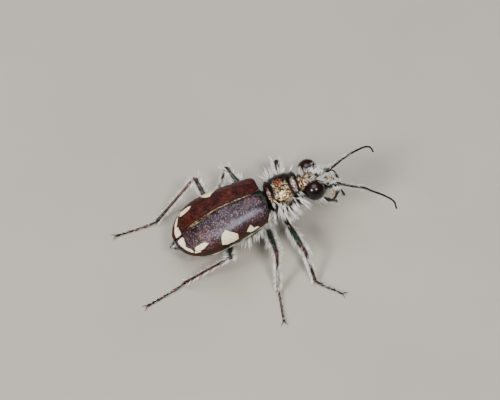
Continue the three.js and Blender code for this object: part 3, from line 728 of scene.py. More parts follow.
# %% [markdown]
# ## Colour of the shells
# Under open sky the right shell shows a grey violet sheen with fine metal flecks and glints, strongest
# along its back, and the left one, turned from it, stays brown. A glossier coat would mirror the plain
# studio instead, so this reflection is painted: each side's share of painted sheen is a number of its
# finish, laid over the brown by how far out a point lies.

# %% Colours of the shells
# Of each side: the share of painted sheen, the specular level, and how wide the gold of the seam gets
SHEEN = {"right": 0.95, "left": 0.13}
GLOSS = {"right": 0.3, "left": 0.1}
SEAM_GOLD = {"right": 0.12, "left": 0.03}
MAHOGANY = [(0.3, "#1d0501"), (0.5, "#360d02"), (0.72, "#541a05")]
PAINTED_SHEEN = [(0.35, "#171316"), (0.5, "#29262c"), (0.64, "#45434c")]
FLECKS_AND_GLINTS = [(0.1, "#a07c98"), (0.4, "#64858c"), (0.65, "#b08c7c"), (0.9, "#8790ac")]
GOLD_THREAD = [(0.1, "#3c3a24"), (0.35, "#8a7448"), (0.6, "#c2a26e"), (0.8, "#b88478"), (0.95, "#4c6a58")]
PALE_RIM = [(0.35, "#33443a"), (0.5, "#8a9a84"), (0.66, "#e2d6c8")]
BONE = [(0.3, "#d6c49c"), (0.7, "#f0e6ca")]


def shell_ground(finish, out, along, upper, mottle, fine_grain, fold, grains):
    """Mahogany, painted shade down the flank, painted sheen, painted fold highlight, flecks and glints."""
    pick, hue = grains
    ground = finish.ramp(mottle, *MAHOGANY)
    # Painted shade down the flank, where the shell turns away from the light above
    ground = finish.blend(ground, "#150401", step(out + (mottle - 0.5) * 0.2, 0.58, 0.8) * 0.6)
    # A painted highlight along the back of the shell lightens the painted sheen there
    back = hill(out, 0.28, 0.45) * hill(along, 2.9, 3.6)
    painted_sheen = finish.ramp(mottle * 0.9 + back * 0.22 - 0.09, *PAINTED_SHEEN)
    # Painted sheen: the reflection of the light above, laid over the brown and speckled by a fine noise
    ground = finish.blend(ground, painted_sheen, upper * (0.3 + fine_grain * 0.5))
    # A painted highlight along the fold, only where the painted sheen lies
    ground = finish.blend(ground, "#8c90a4", fold * upper * 0.25)
    # A few flecks all over, and many more painted glints where the painted sheen lies
    flecks_and_glints = (upper * 0.5 + 0.03) * step(pick, 0.62, 0.98)
    return finish.blend(ground, finish.ramp(hue, *FLECKS_AND_GLINTS), flecks_and_glints)


def gold_of_seam(finish, out, along, from_seam, side_name):
    """A patchy thread beside the seam, widest behind the middle."""
    patches = finish.noise(2.4, detail=4, rough=0.7)
    width = hill(along, 5.0, 1.1) * SEAM_GOLD[side_name] + patches * 0.05
    thread = (1 - step(from_seam - width, 0.0, 0.03)) * step(along, 0.5, 1.4) * (1 - step(along, 5.6, 6.2))
    return thread * step(patches, 0.38, 0.52) * (1 - step(out, 0.25, 0.4))


def wing_case_finish(name, side_name):
    gloss = {"Coat Roughness": 0.35, "Coat Weight": 0.05, "Specular IOR Level": GLOSS[side_name]}
    finish = Finish(name, gloss)
    out, along, from_seam = finish.place()
    spots = shell_spots(finish, along, out, side_name)
    mottle = finish.noise(1.6, detail=5)
    fine_grain = finish.noise(20, detail=3, rough=0.7)
    grains = finish.grains(16)
    # The painted sheen covers the upper part of the shell, which would face the light above
    upper = (1 - step(out + (mottle - 0.5) * 0.4, 0.5, 0.84)) * SHEEN[side_name]
    fold = hill(out - along * 0.03, 0.38, 0.13) * hill(along, 2.3, 2.6)
    rim = step(out, 0.968, 0.985) * (1 - step(out, 1.01, 1.03))
    seam = gold_of_seam(finish, out, along, from_seam, side_name)
    base = shell_ground(finish, out, along, upper, mottle, fine_grain, fold, grains)
    base = finish.blend(base, "#120705", hill(from_seam, 0.08, 0.07) * 0.8)
    base = finish.blend(base, finish.ramp(grains[1], *GOLD_THREAD), seam)
    base = finish.blend(base, finish.ramp(finish.noise(2), *PALE_RIM), rim)
    # Painted shade along the steep margin, just inside the rim
    base = finish.blend(base, "#1b0906", step(out, 0.86, 0.95) * (1 - rim) * 0.6)
    base = finish.blend(base, finish.ramp(finish.noise(7, detail=4), *BONE), spots)
    metal = (rim.larger(seam) * 0.7).larger(upper * 0.55) * (1 - spots)
    waves = finish.bump(finish.noise(0.9) + fold * 0.5, 0.12, 0.5)
    pits = finish.bump(finish.cells(11), 0.02, 0.9, normal=waves)
    fine = finish.bump(fine_grain, 0.016, 0.8, normal=pits)
    return finish.paint(base, 0.3 + fine_grain * 0.2 + spots * 0.12, fine, metal)


for name, side in SIDES.items():
    shell_material = wing_case_finish(f"mahogany_shell_painted_sheen_{name}", name)
    piece(f"wing_shell_{name}", [wing_case(side)], BODY, shell_material, [f"wing_case_{name}"])

# %% [markdown]
# ## Bronze of the head and the neck shield
# The neck shield and the crown are metal seen through fine grains. Their colours are those of the real
# bronze, but where each lies is painted light: gold and copper as painted highlights where they would
# catch the light, pink as painted highlights on the ridges, and blackish green as painted shade down the
# left side and in the furrows. Cells and a noise add up to one number for each grain, and a ramp turns
# that number into one of the colours of a sheen. Bands across the plate choose the sheen. The grains are
# about as large as the finest ones that the eye can tell apart on the real shield.

# %% Bronze finishes
# Ramp stops of each sheen, for the number of a grain
SHEENS = {
    "gold": [
        (0.1, "#140c06"), (0.32, "#4c3519"), (0.46, "#96703a"), (0.58, "#d2ae72"), (0.7, "#f6ecda"),
        (0.84, "#b4bccb"), (0.95, "#6e4232"),
    ],
    "rose": [
        (0.16, "#1c0e0a"), (0.36, "#743c2c"), (0.5, "#c9967a"), (0.62, "#fbeee6"), (0.78, "#c9b2b8"),
        (0.92, "#6e3c30"),
    ],
    "copper": [(0.1, "#0e0604"), (0.4, "#4a170c"), (0.6, "#98402a"), (0.78, "#cf7f56"), (0.92, "#2c1815")],
    "green": [(0.1, "#030403"), (0.5, "#0b120c"), (0.75, "#16291b"), (0.9, "#2e2618")],
}


def bronze_finish(name, bands, wrinkle, leftmost):
    """Grains of metal with painted highlights and shade.

    Each band is (place along, its width, side, its width, sheen, share).
    """
    finish = Finish(name, {"Coat Roughness": 0.2, "Coat Weight": 0.2})
    across, along, height = finish.place()
    drift = finish.noise(2.2, detail=4, rough=0.65) - 0.5
    pick, _ = finish.grains(11)
    grain = pick * 0.62 + finish.noise(2.6, detail=5, rough=0.8) * 1.5 - 0.63
    sheens = {key: finish.ramp(grain, *stops) for key, stops in SHEENS.items()}
    base = sheens["green"]
    for place, width, side, reach, sheen, share in bands:
        mask = hill(along + drift * 0.3, place, width) * hill(across + drift * 1.1, side, reach)
        base = finish.blend(base, sheens[sheen], mask * share)
    # Painted shade: the left side, turned from the light, goes blackish green
    base = finish.blend(base, sheens["green"], step(across + drift * 0.5, leftmost, leftmost + 0.35) * 0.9)
    base = finish.blend(base, "#0a0c09", 1 - step(height + drift * 0.4, -0.95, -0.55))
    folds = finish.noise(9, detail=4, stretch=wrinkle, rough=0.6)
    fine = finish.bump(folds, 0.05, 0.8)
    fine = finish.bump(finish.cells(13), 0.03, 0.9, normal=fine)
    return finish.paint(base, 0.22 + folds * 0.24, fine, metal=0.85)


# Painted light: gold, copper and pink bands are painted highlights, green ones in the furrows painted shade
NECK_BANDS = [
    (-1.5, 0.8, -0.5, 1.2, "gold", 0.95), (-1.4, 0.5, 0.25, 0.45, "copper", 0.95),
    (-2.18, 0.24, 0.1, 0.75, "green", 0.95), (-2.46, 0.26, -0.15, 0.8, "rose", 1.0),
    (-2.45, 0.14, 0.8, 0.25, "gold", 0.7), (-0.72, 0.14, 0.1, 1.0, "green", 0.9),
    (-0.98, 0.18, 0.08, 0.22, "rose", 1.0), (-0.46, 0.2, -0.45, 0.6, "rose", 1.0),
    (-0.62, 0.16, -0.98, 0.3, "gold", 0.9), (-0.47, 0.2, 0.3, 0.4, "copper", 0.7),
    (-0.27, 0.08, 0.0, 1.6, "green", 1.0), (-2.68, 0.05, 0.0, 1.4, "green", 0.9),
]
# Painted highlights on the crown, in gold, pink and copper
CROWN_BANDS = [
    (-2.95, 0.6, -0.15, 0.95, "gold", 0.9), (-3.3, 0.4, -0.3, 0.6, "rose", 0.8),
    (-3.8, 0.5, 0.0, 0.7, "gold", 0.7), (-3.2, 0.6, 0.7, 0.35, "copper", 0.6),
    (-4.5, 0.4, 0.0, 0.9, "copper", 0.7),
]
neck_bronze = bronze_finish("neck_shield_bronze", NECK_BANDS, wrinkle=(0.55, 1.4, 1), leftmost=0.42)
crown_bronze = bronze_finish("crown_bronze", CROWN_BANDS, wrinkle=(1.6, 0.5, 1), leftmost=0.55)
neck_shield = plate(NECK_SHIELD_ROWS, neck_shield_relief, stations=260, sides=144)
piece("neck_shield", [neck_shield], FORE_BODY, neck_bronze, ["prothorax"])

# %% [markdown]
# ## Chest and belly plates
# Below the wing cases lie the chest, with a hip cup for each leg, and the belly in its overlapping rings.
# They are black with green and copper glints. The cups are balls sunk in the chest, and a short ring
# joint leads from each to its leg.

# %% Legs and hip cups
# Hip, knee, ankle and toe of each leg, in the stance. The ankles are at one height, and so are the toes
LEGS = {
    "front_left": ([1.02, -1.9, 1.85], [3.87, -2.77, 2.8], [4.2, -3.1], [3.25, -5.1]),
    "front_right": ([-1.12, -1.65, 1.85], [-4.11, -1.93, 1.75], [-5.75, -2.02], [-7.4, -3.5]),
    "middle_left": ([1.0, -0.1, 1.9], [4.44, 1.07, 3.2], [3.94, 1.97], [3.85, 4.7]),
    "middle_right": ([-0.95, -0.12, 1.9], [-4.09, 0.39, 3.0], [-5.43, 0.78], [-8.1, 1.42]),
    "hind_left": ([0.84, 2.82, 1.42], [4.25, 3.62, 3.36], [3.58, 6.98], [3.62, 10.2]),
    "hind_right": ([-0.74, 2.82, 1.42], [-3.6, 3.88, 3.56], [-2.4, 7.12], [-3.14, 10.3]),
}
ANKLE_HEIGHT = 0.34
TOE_HEIGHT = 0.125
# Centre of the left cup, and half its sizes, in the frame of its plate
HIP_CUPS = {
    "front": ([0.6, -1.45, -2.2], [0.42, 0.52, 0.58]),
    "middle": ([0.6, 0.42, -2.35], [0.44, 0.4, 0.44]),
    "hind": ([0.66, 2.9, -2.36], [0.56, 0.34, 0.36]),
}
RING_JOINT = [(0, 0.2), (0.55, 0.19), (0.7, 0.14), (0.82, 0.21), (1, 0.17)]
RING_LAP = 0.08
# The small plate between the wing cases: half its thickness, its height in front and its rise along it
SHIELD_HALF_THICK = 0.12
SHIELD_HEIGHT = -0.16
SHIELD_RISE = 0.32
# Half the width of its point, and the power that rounds its sides
SHIELD_TIP = 0.012
SHIELD_POWER = 1.5


def mirrored(points, side):
    """Points of the left side, as those of a side."""
    return [[side * x, y, z] for x, y, z in points]


def hip_cups(pair, turn):
    """The cups and ring joints of one pair of legs, in the frame of their plate."""
    skins = []
    centre, half = HIP_CUPS[pair]
    for name, side in SIDES.items():
        cup = np.array(mirrored([centre], side)[0])
        hip = from_stance(LEGS[f"{pair}_{name}"][:1], turn)[0]
        lap = RING_LAP * (hip - cup)
        skins.append(ball(cup, half))
        skins.append(tube([cup, (cup + hip) / 2, hip + lap], RING_JOINT, sides=24, stations=40))
    return skins


def shield_plate(stations=24, sides=32):
    """The small three-cornered plate between the roots of the wing cases."""
    y = np.linspace(0.0, SHIELD["length"], stations)[:, None]
    width = SHIELD["half_width"] * (1 - (y / SHIELD["length"]) ** SHIELD_POWER) + SHIELD_TIP
    angle = whole_turn(sides)
    height = SHIELD_HEIGHT + SHIELD_RISE * y + SHIELD_HALF_THICK * np.sin(angle)
    return skin(np.stack([width * np.cos(angle), np.broadcast_to(y, height.shape), height], axis=-1))


print("hip cups:", 2 * len(HIP_CUPS))

# %% Black plates
CHEST_TINTS = [(0.35, "#0c0d0b"), (0.5, "#17241b"), (0.62, "#2c1d16"), (0.75, "#1a2a2c")]
BELLY_TINTS = [(0.3, "#0b0a0a"), (0.5, "#1c1518"), (0.62, "#1d3328"), (0.74, "#5a2f3c")]
TAIL_GLINTS = [(0.4, "#0c100e"), (0.5, "#4c6a5c"), (0.58, "#dcb4ba"), (0.66, "#1c1416")]


def black_finish(name, tints, tip=9.0):
    """Black metal with tinted patches. Past the tip, a place along the body, it glints pink and green."""
    finish = Finish(name, {"Metallic": 0.55})
    base = finish.ramp(finish.noise(1.8, detail=4), *tints)
    glint = finish.ramp(finish.noise(5), *TAIL_GLINTS)
    base = finish.blend(base, glint, step(finish.place()[1], tip, tip + 0.2) * 0.85)
    folds = finish.noise(14, detail=4, rough=0.6)
    fine = finish.bump(folds, 0.02, 0.7)
    return finish.paint(base, 0.2 + folds * 0.25, fine)


chest_black = black_finish("chest_black", CHEST_TINTS)
belly_black = black_finish("belly_black", BELLY_TINTS, tip=7.1)
chest = [plate(CHEST_ROWS, chest_relief, stations=120, sides=96), shield_plate()]
chest += hip_cups("middle", BODY) + hip_cups("hind", BODY)
belly = plate(ABDOMEN_ROWS, abdomen_relief, stations=150, sides=96)
piece("chest_plates", chest, BODY, chest_black, ["hind_chest"])
piece("front_hips", hip_cups("front", FORE_BODY), FORE_BODY, chest_black)
piece("belly_rings", [belly], BODY, belly_black, ["abdomen"])

# %% [markdown]
# ## Head
# The head is a broad capsule that carries two huge eyes on its sides, and it gets the most care. The eyes
# are domes of thousands of facets, too fine to see one by one, which show as a soft grain in a glossy
# brown-black ball with a painted copper highlight on top. A raised rim holds each eye. The crown has the
# bronze of the neck shield.

# %% Head capsule and eye rims
EYE = {"centre": [0.98, -3.78, -0.74], "half": [0.75, 0.78, 0.8]}
# Where the rim stands out from the middle of the head, its thickness, and how much that varies
EYE_RIM = {"at": 0.66, "radius": 0.055, "uneven": 0.2}
# Depth of the notch for the feeler, as a share of the radius, then its middle and width each way
EYE_NOTCH = 0.09
EYE_NOTCH_AT = ((-0.1, 0.4), (-0.95, 0.25), (-0.2, 0.5))


def eye_rim(side, stations=72, sides=10):
    """A ring round the foot of an eye."""
    centre, half = EYE["centre"], EYE["half"]
    shrink = math.sqrt(1 - ((centre[0] - EYE_RIM["at"]) / half[0]) ** 2)
    turn, small = whole_turn(stations), whole_turn(sides)
    radius = (EYE_RIM["radius"] * (1 + EYE_RIM["uneven"] * np.sin(3 * turn)))[:, None]
    reach = np.stack([half[1] * shrink * np.cos(turn), half[2] * shrink * np.sin(turn)], axis=1)
    out = unit(reach)
    y = centre[1] + reach[:, :1] + out[:, :1] * radius * np.cos(small)
    z = centre[2] + reach[:, 1:] + out[:, 1:] * radius * np.cos(small)
    x = side * (EYE_RIM["at"] + radius * np.sin(small))
    points = np.stack([x, y, z], axis=-1).reshape(-1, 3)
    faces = [tuple(v % len(points) for v in face) for face in band_faces(stations + 1, sides)]
    return points, faces, points


head = plate(HEAD_ROWS, crown_relief, stations=150, sides=120)
piece("head_capsule", [head, eye_rim(-1), eye_rim(1)], FORE_BODY, crown_bronze, ["head"])

# %% Eyes
EYE_GLOSS = {"Coat Weight": 0.6, "Coat Roughness": 0.02, "Coat IOR": 1.4, "Specular IOR Level": 0.15}


def eye_finish():
    """Brown black, with a painted copper highlight on the upper half, and fine facets."""
    finish = Finish("faceted_eye", EYE_GLOSS)
    height = finish.place()[2]
    base = finish.ramp(finish.noise(1.2), (0.35, "#030201"), (0.55, "#0a0503"), (0.7, "#150a06"))
    # Painted copper highlight on the upper half of the eye
    base = finish.blend(base, "#4a2012", step(height, -0.3, 0.15) * 0.22)
    facets = finish.cells(30)
    fine = finish.bump(facets, 0.006, 0.4)
    return finish.paint(base, 0.2 + facets * 0.2, fine)


def eye_ball(side):
    """A dome with a shallow notch in front, where the feeler is rooted."""
    points, faces, _ = ball([0, 0, 0], [1, 1, 1], sides=120, stations=80)
    x, y, z = points.T
    bells = [bell(v, *at) for v, at in zip((x * side, y, z), EYE_NOTCH_AT)]
    notch = math.prod(bells, start=EYE_NOTCH)
    domed = points * (1 - notch)[:, None] * EYE["half"] + mirrored([EYE["centre"]], side)
    return domed, faces, domed


eye_material = eye_finish()
for name, side in SIDES.items():
    piece(f"eye_dome_{name}", [eye_ball(side)], FORE_BODY, eye_material, [f"eye_{name}"])

# %% [markdown]
# ## Mouthparts
# A tiger beetle is named for its jaws: two curved blades with teeth on their inner edges, crossed in
# front of the mouth. The upper lip above them is a cream plate with three teeth, and two pairs of palps
# hang beside them. Each jaw and palp is a tube along a route, with a table of widths that swells and
# pinches it.

# %% Shapes of the lip and the jaws
LIP_ROWS = [
    [-5.16, 0.22, -2.0, -2.1, -2.2, 2.0], [-5.11, 0.43, -1.86, -2.03, -2.2, 2.3],
    [-5.01, 0.57, -1.68, -1.9, -2.12, 2.5], [-4.87, 0.58, -1.48, -1.72, -1.98, 2.4],
    [-4.6, 0.52, -1.22, -1.48, -1.8, 2.4],
]
LIP_FORMS = {
    "middle_ridge": ("above", 0.03, (0, 0.07)),
    "side_grooves": ("above", -0.02, (0.3, 0.06)),
    "seam": ("round", -0.03, None, (-4.83, 0.04)),
}
LIP_TEETH_AT = (-0.3, 0, 0.3)
# Root of the middle tooth, along and up, how far the outer ones stand back, and the line of a tooth
LIP_TOOTH_ROOT = (-5.08, -2.04)
LIP_CURVE = 0.1
LIP_TOOTH_LINE = np.array([[0, 0, 0], [0, -0.09, -0.03], [0, -0.17, -0.08]])
LIP_TOOTH = [(0, 0.06), (0.5, 0.045), (1, 0.008)]
JAW = [
    [0.66, -4.4, -2.2], [0.72, -4.85, -2.32], [0.7, -5.15, -2.42], [0.44, -5.38, -2.7],
    [0.12, -5.48, -2.95],
]
JAW_WIDTHS = [(0, 0.2), (0.3, 0.2), (0.5, 0.16), (0.75, 0.09), (1, 0.012)]
JAW_STATIONS = 60
# Station of each tooth's root along the jaw, and the tooth's length
JAW_TEETH = ((22, 0.26), (30, 0.2), (38, 0.15))
JAW_TOOTH_WAY = [-1, -0.25, -0.1]
JAW_TOOTH_HOOK = np.array([0, -0.03, 0])
JAW_TOOTH = [(0, 0.08), (0.5, 0.05), (1, 0.006)]


def jaw(side):
    line = mirrored(JAW, side)
    skins = [tube(line, JAW_WIDTHS, sides=24, stations=JAW_STATIONS, flat=0.75)]
    stations, _, _ = route(line, JAW_STATIONS)
    way = np.array(mirrored([JAW_TOOTH_WAY], side)[0])
    for at, reach in JAW_TEETH:
        root = stations[at]
        tooth = [root, root + reach * way / 2, root + reach * way + JAW_TOOTH_HOOK]
        skins.append(tube(tooth, JAW_TOOTH, sides=10, stations=16, kind=1))
    return skins


def lip():
    skins = [plate(LIP_ROWS, relief_of(LIP_FORMS), stations=70, sides=72, dome=0.05)]
    y, z = LIP_TOOTH_ROOT
    for x in LIP_TEETH_AT:
        tooth = LIP_TOOTH_LINE + [x, y + LIP_CURVE * abs(x), z]
        skins.append(tube(tooth, LIP_TOOTH, sides=10, stations=14))
    return skins


print("teeth:", len(LIP_TEETH_AT), "on the lip,", 2 * len(JAW_TEETH), "on the jaws")

# %% Lip and jaws
def ivory_finish():
    """Cream, darker at the front edge."""
    finish = Finish("ivory_lip", {"Coat Weight": 0.3, "Coat Roughness": 0.2})
    along = finish.place()[1]
    base = finish.ramp(finish.noise(4, detail=4), (0.3, "#b79c74"), (0.6, "#dccba3"), (0.8, "#efe4c8"))
    base = finish.blend(base, "#4a2a18", (1 - step(along, -5.18, -5.06)) * 0.5)
    fine = finish.bump(finish.noise(16, detail=4), 0.015, 0.6)
    return finish.paint(base, 0.35 + finish.noise(20) * 0.2, fine)


def jaw_finish():
    """Dark horn, pale along the root half of the blade but not on its teeth."""
    finish = Finish("jaw_horn", {"Coat Weight": 0.4, "Coat Roughness": 0.15})
    share, _, kind = finish.place()
    pale = (1 - step(share + finish.noise(6) * 0.1, 0.52, 0.6)) * (1 - kind)
    dark = finish.ramp(finish.noise(5, detail=3), (0.3, "#1a0805"), (0.7, "#431a10"))
    base = finish.blend(dark, "#d3bf95", pale * 0.9)
    fine = finish.bump(finish.noise(14, detail=3), 0.012, 0.5)
    return finish.paint(base, 0.22 + finish.noise(18) * 0.2, fine)


piece("upper_lip", lip(), FORE_BODY, ivory_finish(), ["labrum"])
jaw_horn = jaw_finish()
for name, side in SIDES.items():
    piece(f"jaw_{name}", jaw(side), FORE_BODY, jaw_horn, [f"mandible_{name}"])

# %% [markdown]
# ## Finish of the limbs and the palps
# Legs, feelers and palps are black with a metallic skin that glints copper, pink and green where it turns
# to the light. Here the glints are painted into the colour: they follow soft patches a few tenths of a
# millimetre long, so they come from a noise whose ramp stays dark between two narrow colours. The thighs
# are greener than the rest, with more of the painted green glint.

# %% Limb material and the palps
UPPER_PALP = [
    [0.6, -3.85, -1.9], [1.05, -4.3, -2.2], [1.28, -4.85, -2.3], [1.02, -5.35, -1.9], [0.84, -5.58, -2.05],
    [0.8, -5.72, -3.1],
]
LOWER_PALP = [[0.45, -3.95, -2.5], [0.78, -4.35, -2.95], [0.88, -4.75, -3.05], [0.84, -5.08, -3.5]]
PALPS = {"upper_palp": (UPPER_PALP, "maxillary_palp"), "lower_palp": (LOWER_PALP, "labial_palp")}
PALP_WIDTHS = [
    (0, 0.08), (0.1, 0.1), (0.3, 0.125), (0.33, 0.05), (0.36, 0.085), (0.5, 0.095), (0.62, 0.12),
    (0.65, 0.045), (0.68, 0.08), (0.8, 0.09), (0.95, 0.11), (1, 0.05),
]
# Kinds of tube that the finish tells apart: a thigh gets painted cool green glints where the others are
# dark
KIND = {"thigh": 0, "palp": 1, "shin": 1, "foot": 2, "spur": 3, "claw": 4}


def limb_finish(name, dark, warm, cool):
    finish = Finish(name)
    share, _, kind = finish.place()
    patches = finish.noise(2.6, detail=4, rough=0.6)
    # Painted glints: narrow copper and green bands of a noise over the black
    glints = [(0.3, cool), (0.38, dark), (0.5, dark), (0.56, warm), (0.62, dark), (0.72, cool)]
    base = finish.ramp(patches, *glints)
    of_thigh = 1 - step(kind, 0.1, 0.5)
    # The thighs get more of the painted green glint
    base = finish.blend(base, cool, of_thigh * hill(share + patches * 0.3, 0.6, 0.5) * 0.7)
    grain = finish.noise(22, detail=3, rough=0.7)
    fine = finish.bump(grain, 0.012, 0.7)
    return finish.paint(base, 0.18 + grain * 0.26, fine, metal=0.3 + patches * 0.5)


leg_black = limb_finish("leg_black", "#0a0808", "#7a4a48", "#16301f")
feeler_black = limb_finish("feeler_black", "#080707", "#4a281e", "#152a22")
for name, side in SIDES.items():
    for palp, (line, node) in PALPS.items():
        skins = [tube(mirrored(line, side), PALP_WIDTHS, sides=18, stations=120, kind=KIND["palp"])]
        piece(f"{palp}_{name}", skins, FORE_BODY, feeler_black, [f"{node}_{name}"])

# %% [markdown]
# ## Legs
# A tiger beetle runs on long thin legs: a slender club of a thigh, a straight shin with two spurs, and a
# foot of five small joints with a pair of claws. Each leg is one piece of tubes that lap over each other
# at the knee and the ankle, as the hard tubes of the real leg do.

# %% Lines and widths of the legs
THIGH = [(0, 0.15), (0.12, 0.2), (0.35, 0.26), (0.6, 0.23), (0.85, 0.15), (0.95, 0.16), (1, 0.15)]
SHIN = [(0, 0.1), (0.05, 0.13), (0.12, 0.105), (0.5, 0.1), (0.88, 0.115), (0.97, 0.15), (1, 0.12)]
THIGH_FLAT = 0.86
THIGH_BOW = {"front": 0.05, "middle": 0.08, "hind": 0.3}
SHIN_BOW = 0.05
KNEE_RISE = 0.02
FOOT_JOINTS = [0, 0.36, 0.58, 0.75, 0.87, 1]
# The shares of the way from ankle to toe, level and down, at which the foot bends
FOOT_BENDS = ([0.16, 0.16, 0.55], [0.5, 0.5, 0.97])


def leg_lines(name):
    """The lines of the thigh, the shin and the foot of a leg."""
    hip, knee, ankle, toe = LEGS[name]
    hip, knee, ankle, toe = np.array([hip, knee, [*ankle, ANKLE_HEIGHT], [*toe, TOE_HEIGHT]])
    bow = np.array([0, 0, THIGH_BOW[name.split("_")[0]]])
    return {
        "thigh": [hip, hip + (knee - hip) * 0.5 - bow, knee],
        "shin": [knee + [0, 0, KNEE_RISE], knee + (ankle - knee) * 0.5 + [0, 0, SHIN_BOW], ankle],
        "foot": [ankle, *[ankle + (toe - ankle) * bend for bend in FOOT_BENDS], toe],
    }


def foot_widths():
    """Radii along the foot. Each joint thickens towards its end."""
    widths = []
    for a, b in zip(FOOT_JOINTS, FOOT_JOINTS[1:]):
        widths += [(a + 0.008, 0.06), (a + 0.35 * (b - a), 0.08), (b - 0.025, 0.105), (b - 0.006, 0.05)]
    return widths


print("hind shin, mm:", round(route(leg_lines("hind_left")["shin"], 20)[2], 2))

# %% Spurs and claws
SPUR = {"length": 0.45, "spread": 0.35, "widths": [(0, 0.035), (0.4, 0.028), (1, 0.005)]}
CLAW = {"length": 0.42, "spread": 0.45, "widths": [(0, 0.045), (0.4, 0.035), (1, 0.006)]}
# Shares of a claw's length and spread at which it bends and ends, and how high it arches
CLAW_BEND = {"at": 0.55, "out": 0.3, "rise": 0.04}
CLAW_TIP_OUT = 0.62
# Claws end this far above the floor, and spurs no lower
TIP_HEIGHT = 0.03


def spurs(line, along):
    """Two straight spines at the end of a shin."""
    root, way = line[-3], along[-1]
    beside = unit(np.cross(way, [0, 0, 1]))
    skins = []
    for side in (-1, 1):
        tip = root + (way + SPUR["spread"] * side * beside) * SPUR["length"]
        tip[2] = max(tip[2], TIP_HEIGHT)
        spine = [root, (root + tip) / 2, tip]
        skins.append(tube(spine, SPUR["widths"], sides=10, stations=14, kind=KIND["spur"]))
    return skins


def claws(line, along):
    """Two hooks at the end of a foot, which spread and then turn down."""
    root, way = line[-2], along[-1] * CLAW["length"]
    beside = np.cross(along[-1], [0, 0, 1])
    skins = []
    for side in (-1, 1):
        out = side * beside * CLAW["spread"]
        tip = root + way + out * CLAW_TIP_OUT
        tip[2] = TIP_HEIGHT
        bend = root + way * CLAW_BEND["at"] + out * CLAW_BEND["out"] + [0, 0, CLAW_BEND["rise"]]
        skins.append(tube([root, bend, tip], CLAW["widths"], sides=10, stations=20, kind=KIND["claw"]))
    return skins


claw_skins = []
for name in LEGS:
    lines = leg_lines(name)
    shin_line, shin_along, _ = route(lines["shin"], 60)
    foot_line, foot_along, _ = route(lines["foot"], 60)
    skins = [
        tube(lines["thigh"], THIGH, sides=24, stations=80, flat=THIGH_FLAT, kind=KIND["thigh"]),
        tube(lines["shin"], SHIN, sides=20, stations=90, kind=KIND["shin"]),
        tube(lines["foot"], foot_widths(), sides=16, stations=150, kind=KIND["foot"]),
        *spurs(shin_line, shin_along),
    ]
    claw_skins += claws(foot_line, foot_along)
    nodes = [f"leg_{name}_{length}" for length in ("femur", "tibia", "tarsus")]
    piece(f"long_leg_{name}", skins, STANCE, leg_black, nodes)
piece("claw_hooks", claw_skins, STANCE, jaw_horn)

# %% [markdown]
# ## Feelers
# A feeler is a bulb and ten more joints, each a little thicker at its end. Its shape follows a rule along
# a path, so Geometry Nodes make it: the path becomes a curve, a saw-tooth of the joint number sets the
# radius, and a circle is swept along it. The bulb is a tube of its own.


# %% Trees of nodes and the meshes they make
def new_tree(name, sizes):
    """An empty Geometry Nodes tree with named inputs."""
    tree = bpy.data.node_groups.new(name, "GeometryNodeTree")
    tree.interface.new_socket("Geometry", in_out="INPUT", socket_type="NodeSocketGeometry")
    tree.interface.new_socket("Geometry", in_out="OUTPUT", socket_type="NodeSocketGeometry")
    for size, kind in sizes.items():
        tree.interface.new_socket(size, in_out="INPUT", socket_type=f"NodeSocket{kind}")
    entry = tree.nodes.new("NodeGroupInput")
    return tree, {socket.name: Wire(tree, socket) for socket in entry.outputs if socket.name}


def end_tree(tree, geometry, material):
    whole = add_node(tree, "GeometryNodeRealizeInstances", inputs={0: geometry})
    dressed = add_node(tree, "GeometryNodeSetMaterial", inputs={0: whole, 2: material})
    add_node(tree, "NodeGroupOutput", inputs={0: dressed})


def grown(source, tree, name, values):
    """The plain mesh that a tree makes of an object, as an object of its own."""
    modifier = source.modifiers.new("grow", "NODES")
    modifier.node_group = tree
    sockets = tree.interface.items_tree
    identifiers = {item.name: item.identifier for item in sockets if item.in_out == "INPUT"}
    for key, value in values.items():
        modifier[identifiers[key]] = value
    bpy.context.view_layer.update()
    evaluated = source.evaluated_get(bpy.context.evaluated_depsgraph_get())
    mesh = bpy.data.meshes.new_from_object(evaluated)
    source.modifiers.remove(modifier)
    bpy.data.objects.remove(source)
    mesh.name = name
    made = bpy.data.objects.new(name, mesh)
    bpy.context.scene.collection.objects.link(made)
    return made


def feeler_tree():
    """A path swept with a radius that steps from joint to joint."""
    sizes = {"Joints": "Float", "Root": "Float", "Tip": "Float", "Swell": "Float", "Material": "Material"}
    tree, given = new_tree("jointed_feeler", sizes)
    node = partial(add_node, tree)
    curve = node("GeometryNodeMeshToCurve", inputs={0: given["Geometry"]})
    curve = node("GeometryNodeResampleCurve", inputs={"Curve": curve, "Count": 300})
    share = node("GeometryNodeSplineParameter")
    joints_passed = share * given["Joints"]
    joint = joints_passed.maths("FRACT", joints_passed)
    pinch = 1 - (1 - step(joint, 0.0, 0.12)) * 0.4
    taper = given["Root"] + (given["Tip"] - given["Root"]) * share
    radius = taper * (1 + given["Swell"] * joint * joint) * pinch * step(1 - share, -0.004, 0.012)
    circle = node("GeometryNodeCurvePrimitiveCircle", inputs={"Resolution": 16, "Radius": 1.0})
    sweep = {"Curve": curve, "Profile Curve": circle, "Scale": radius, "Fill Caps": True}
    end_tree(tree, node("GeometryNodeCurveToMesh", inputs=sweep), given["Material"])
    return tree


jointed_feeler = feeler_tree()
print("feeler tree:", len(jointed_feeler.nodes), "nodes")

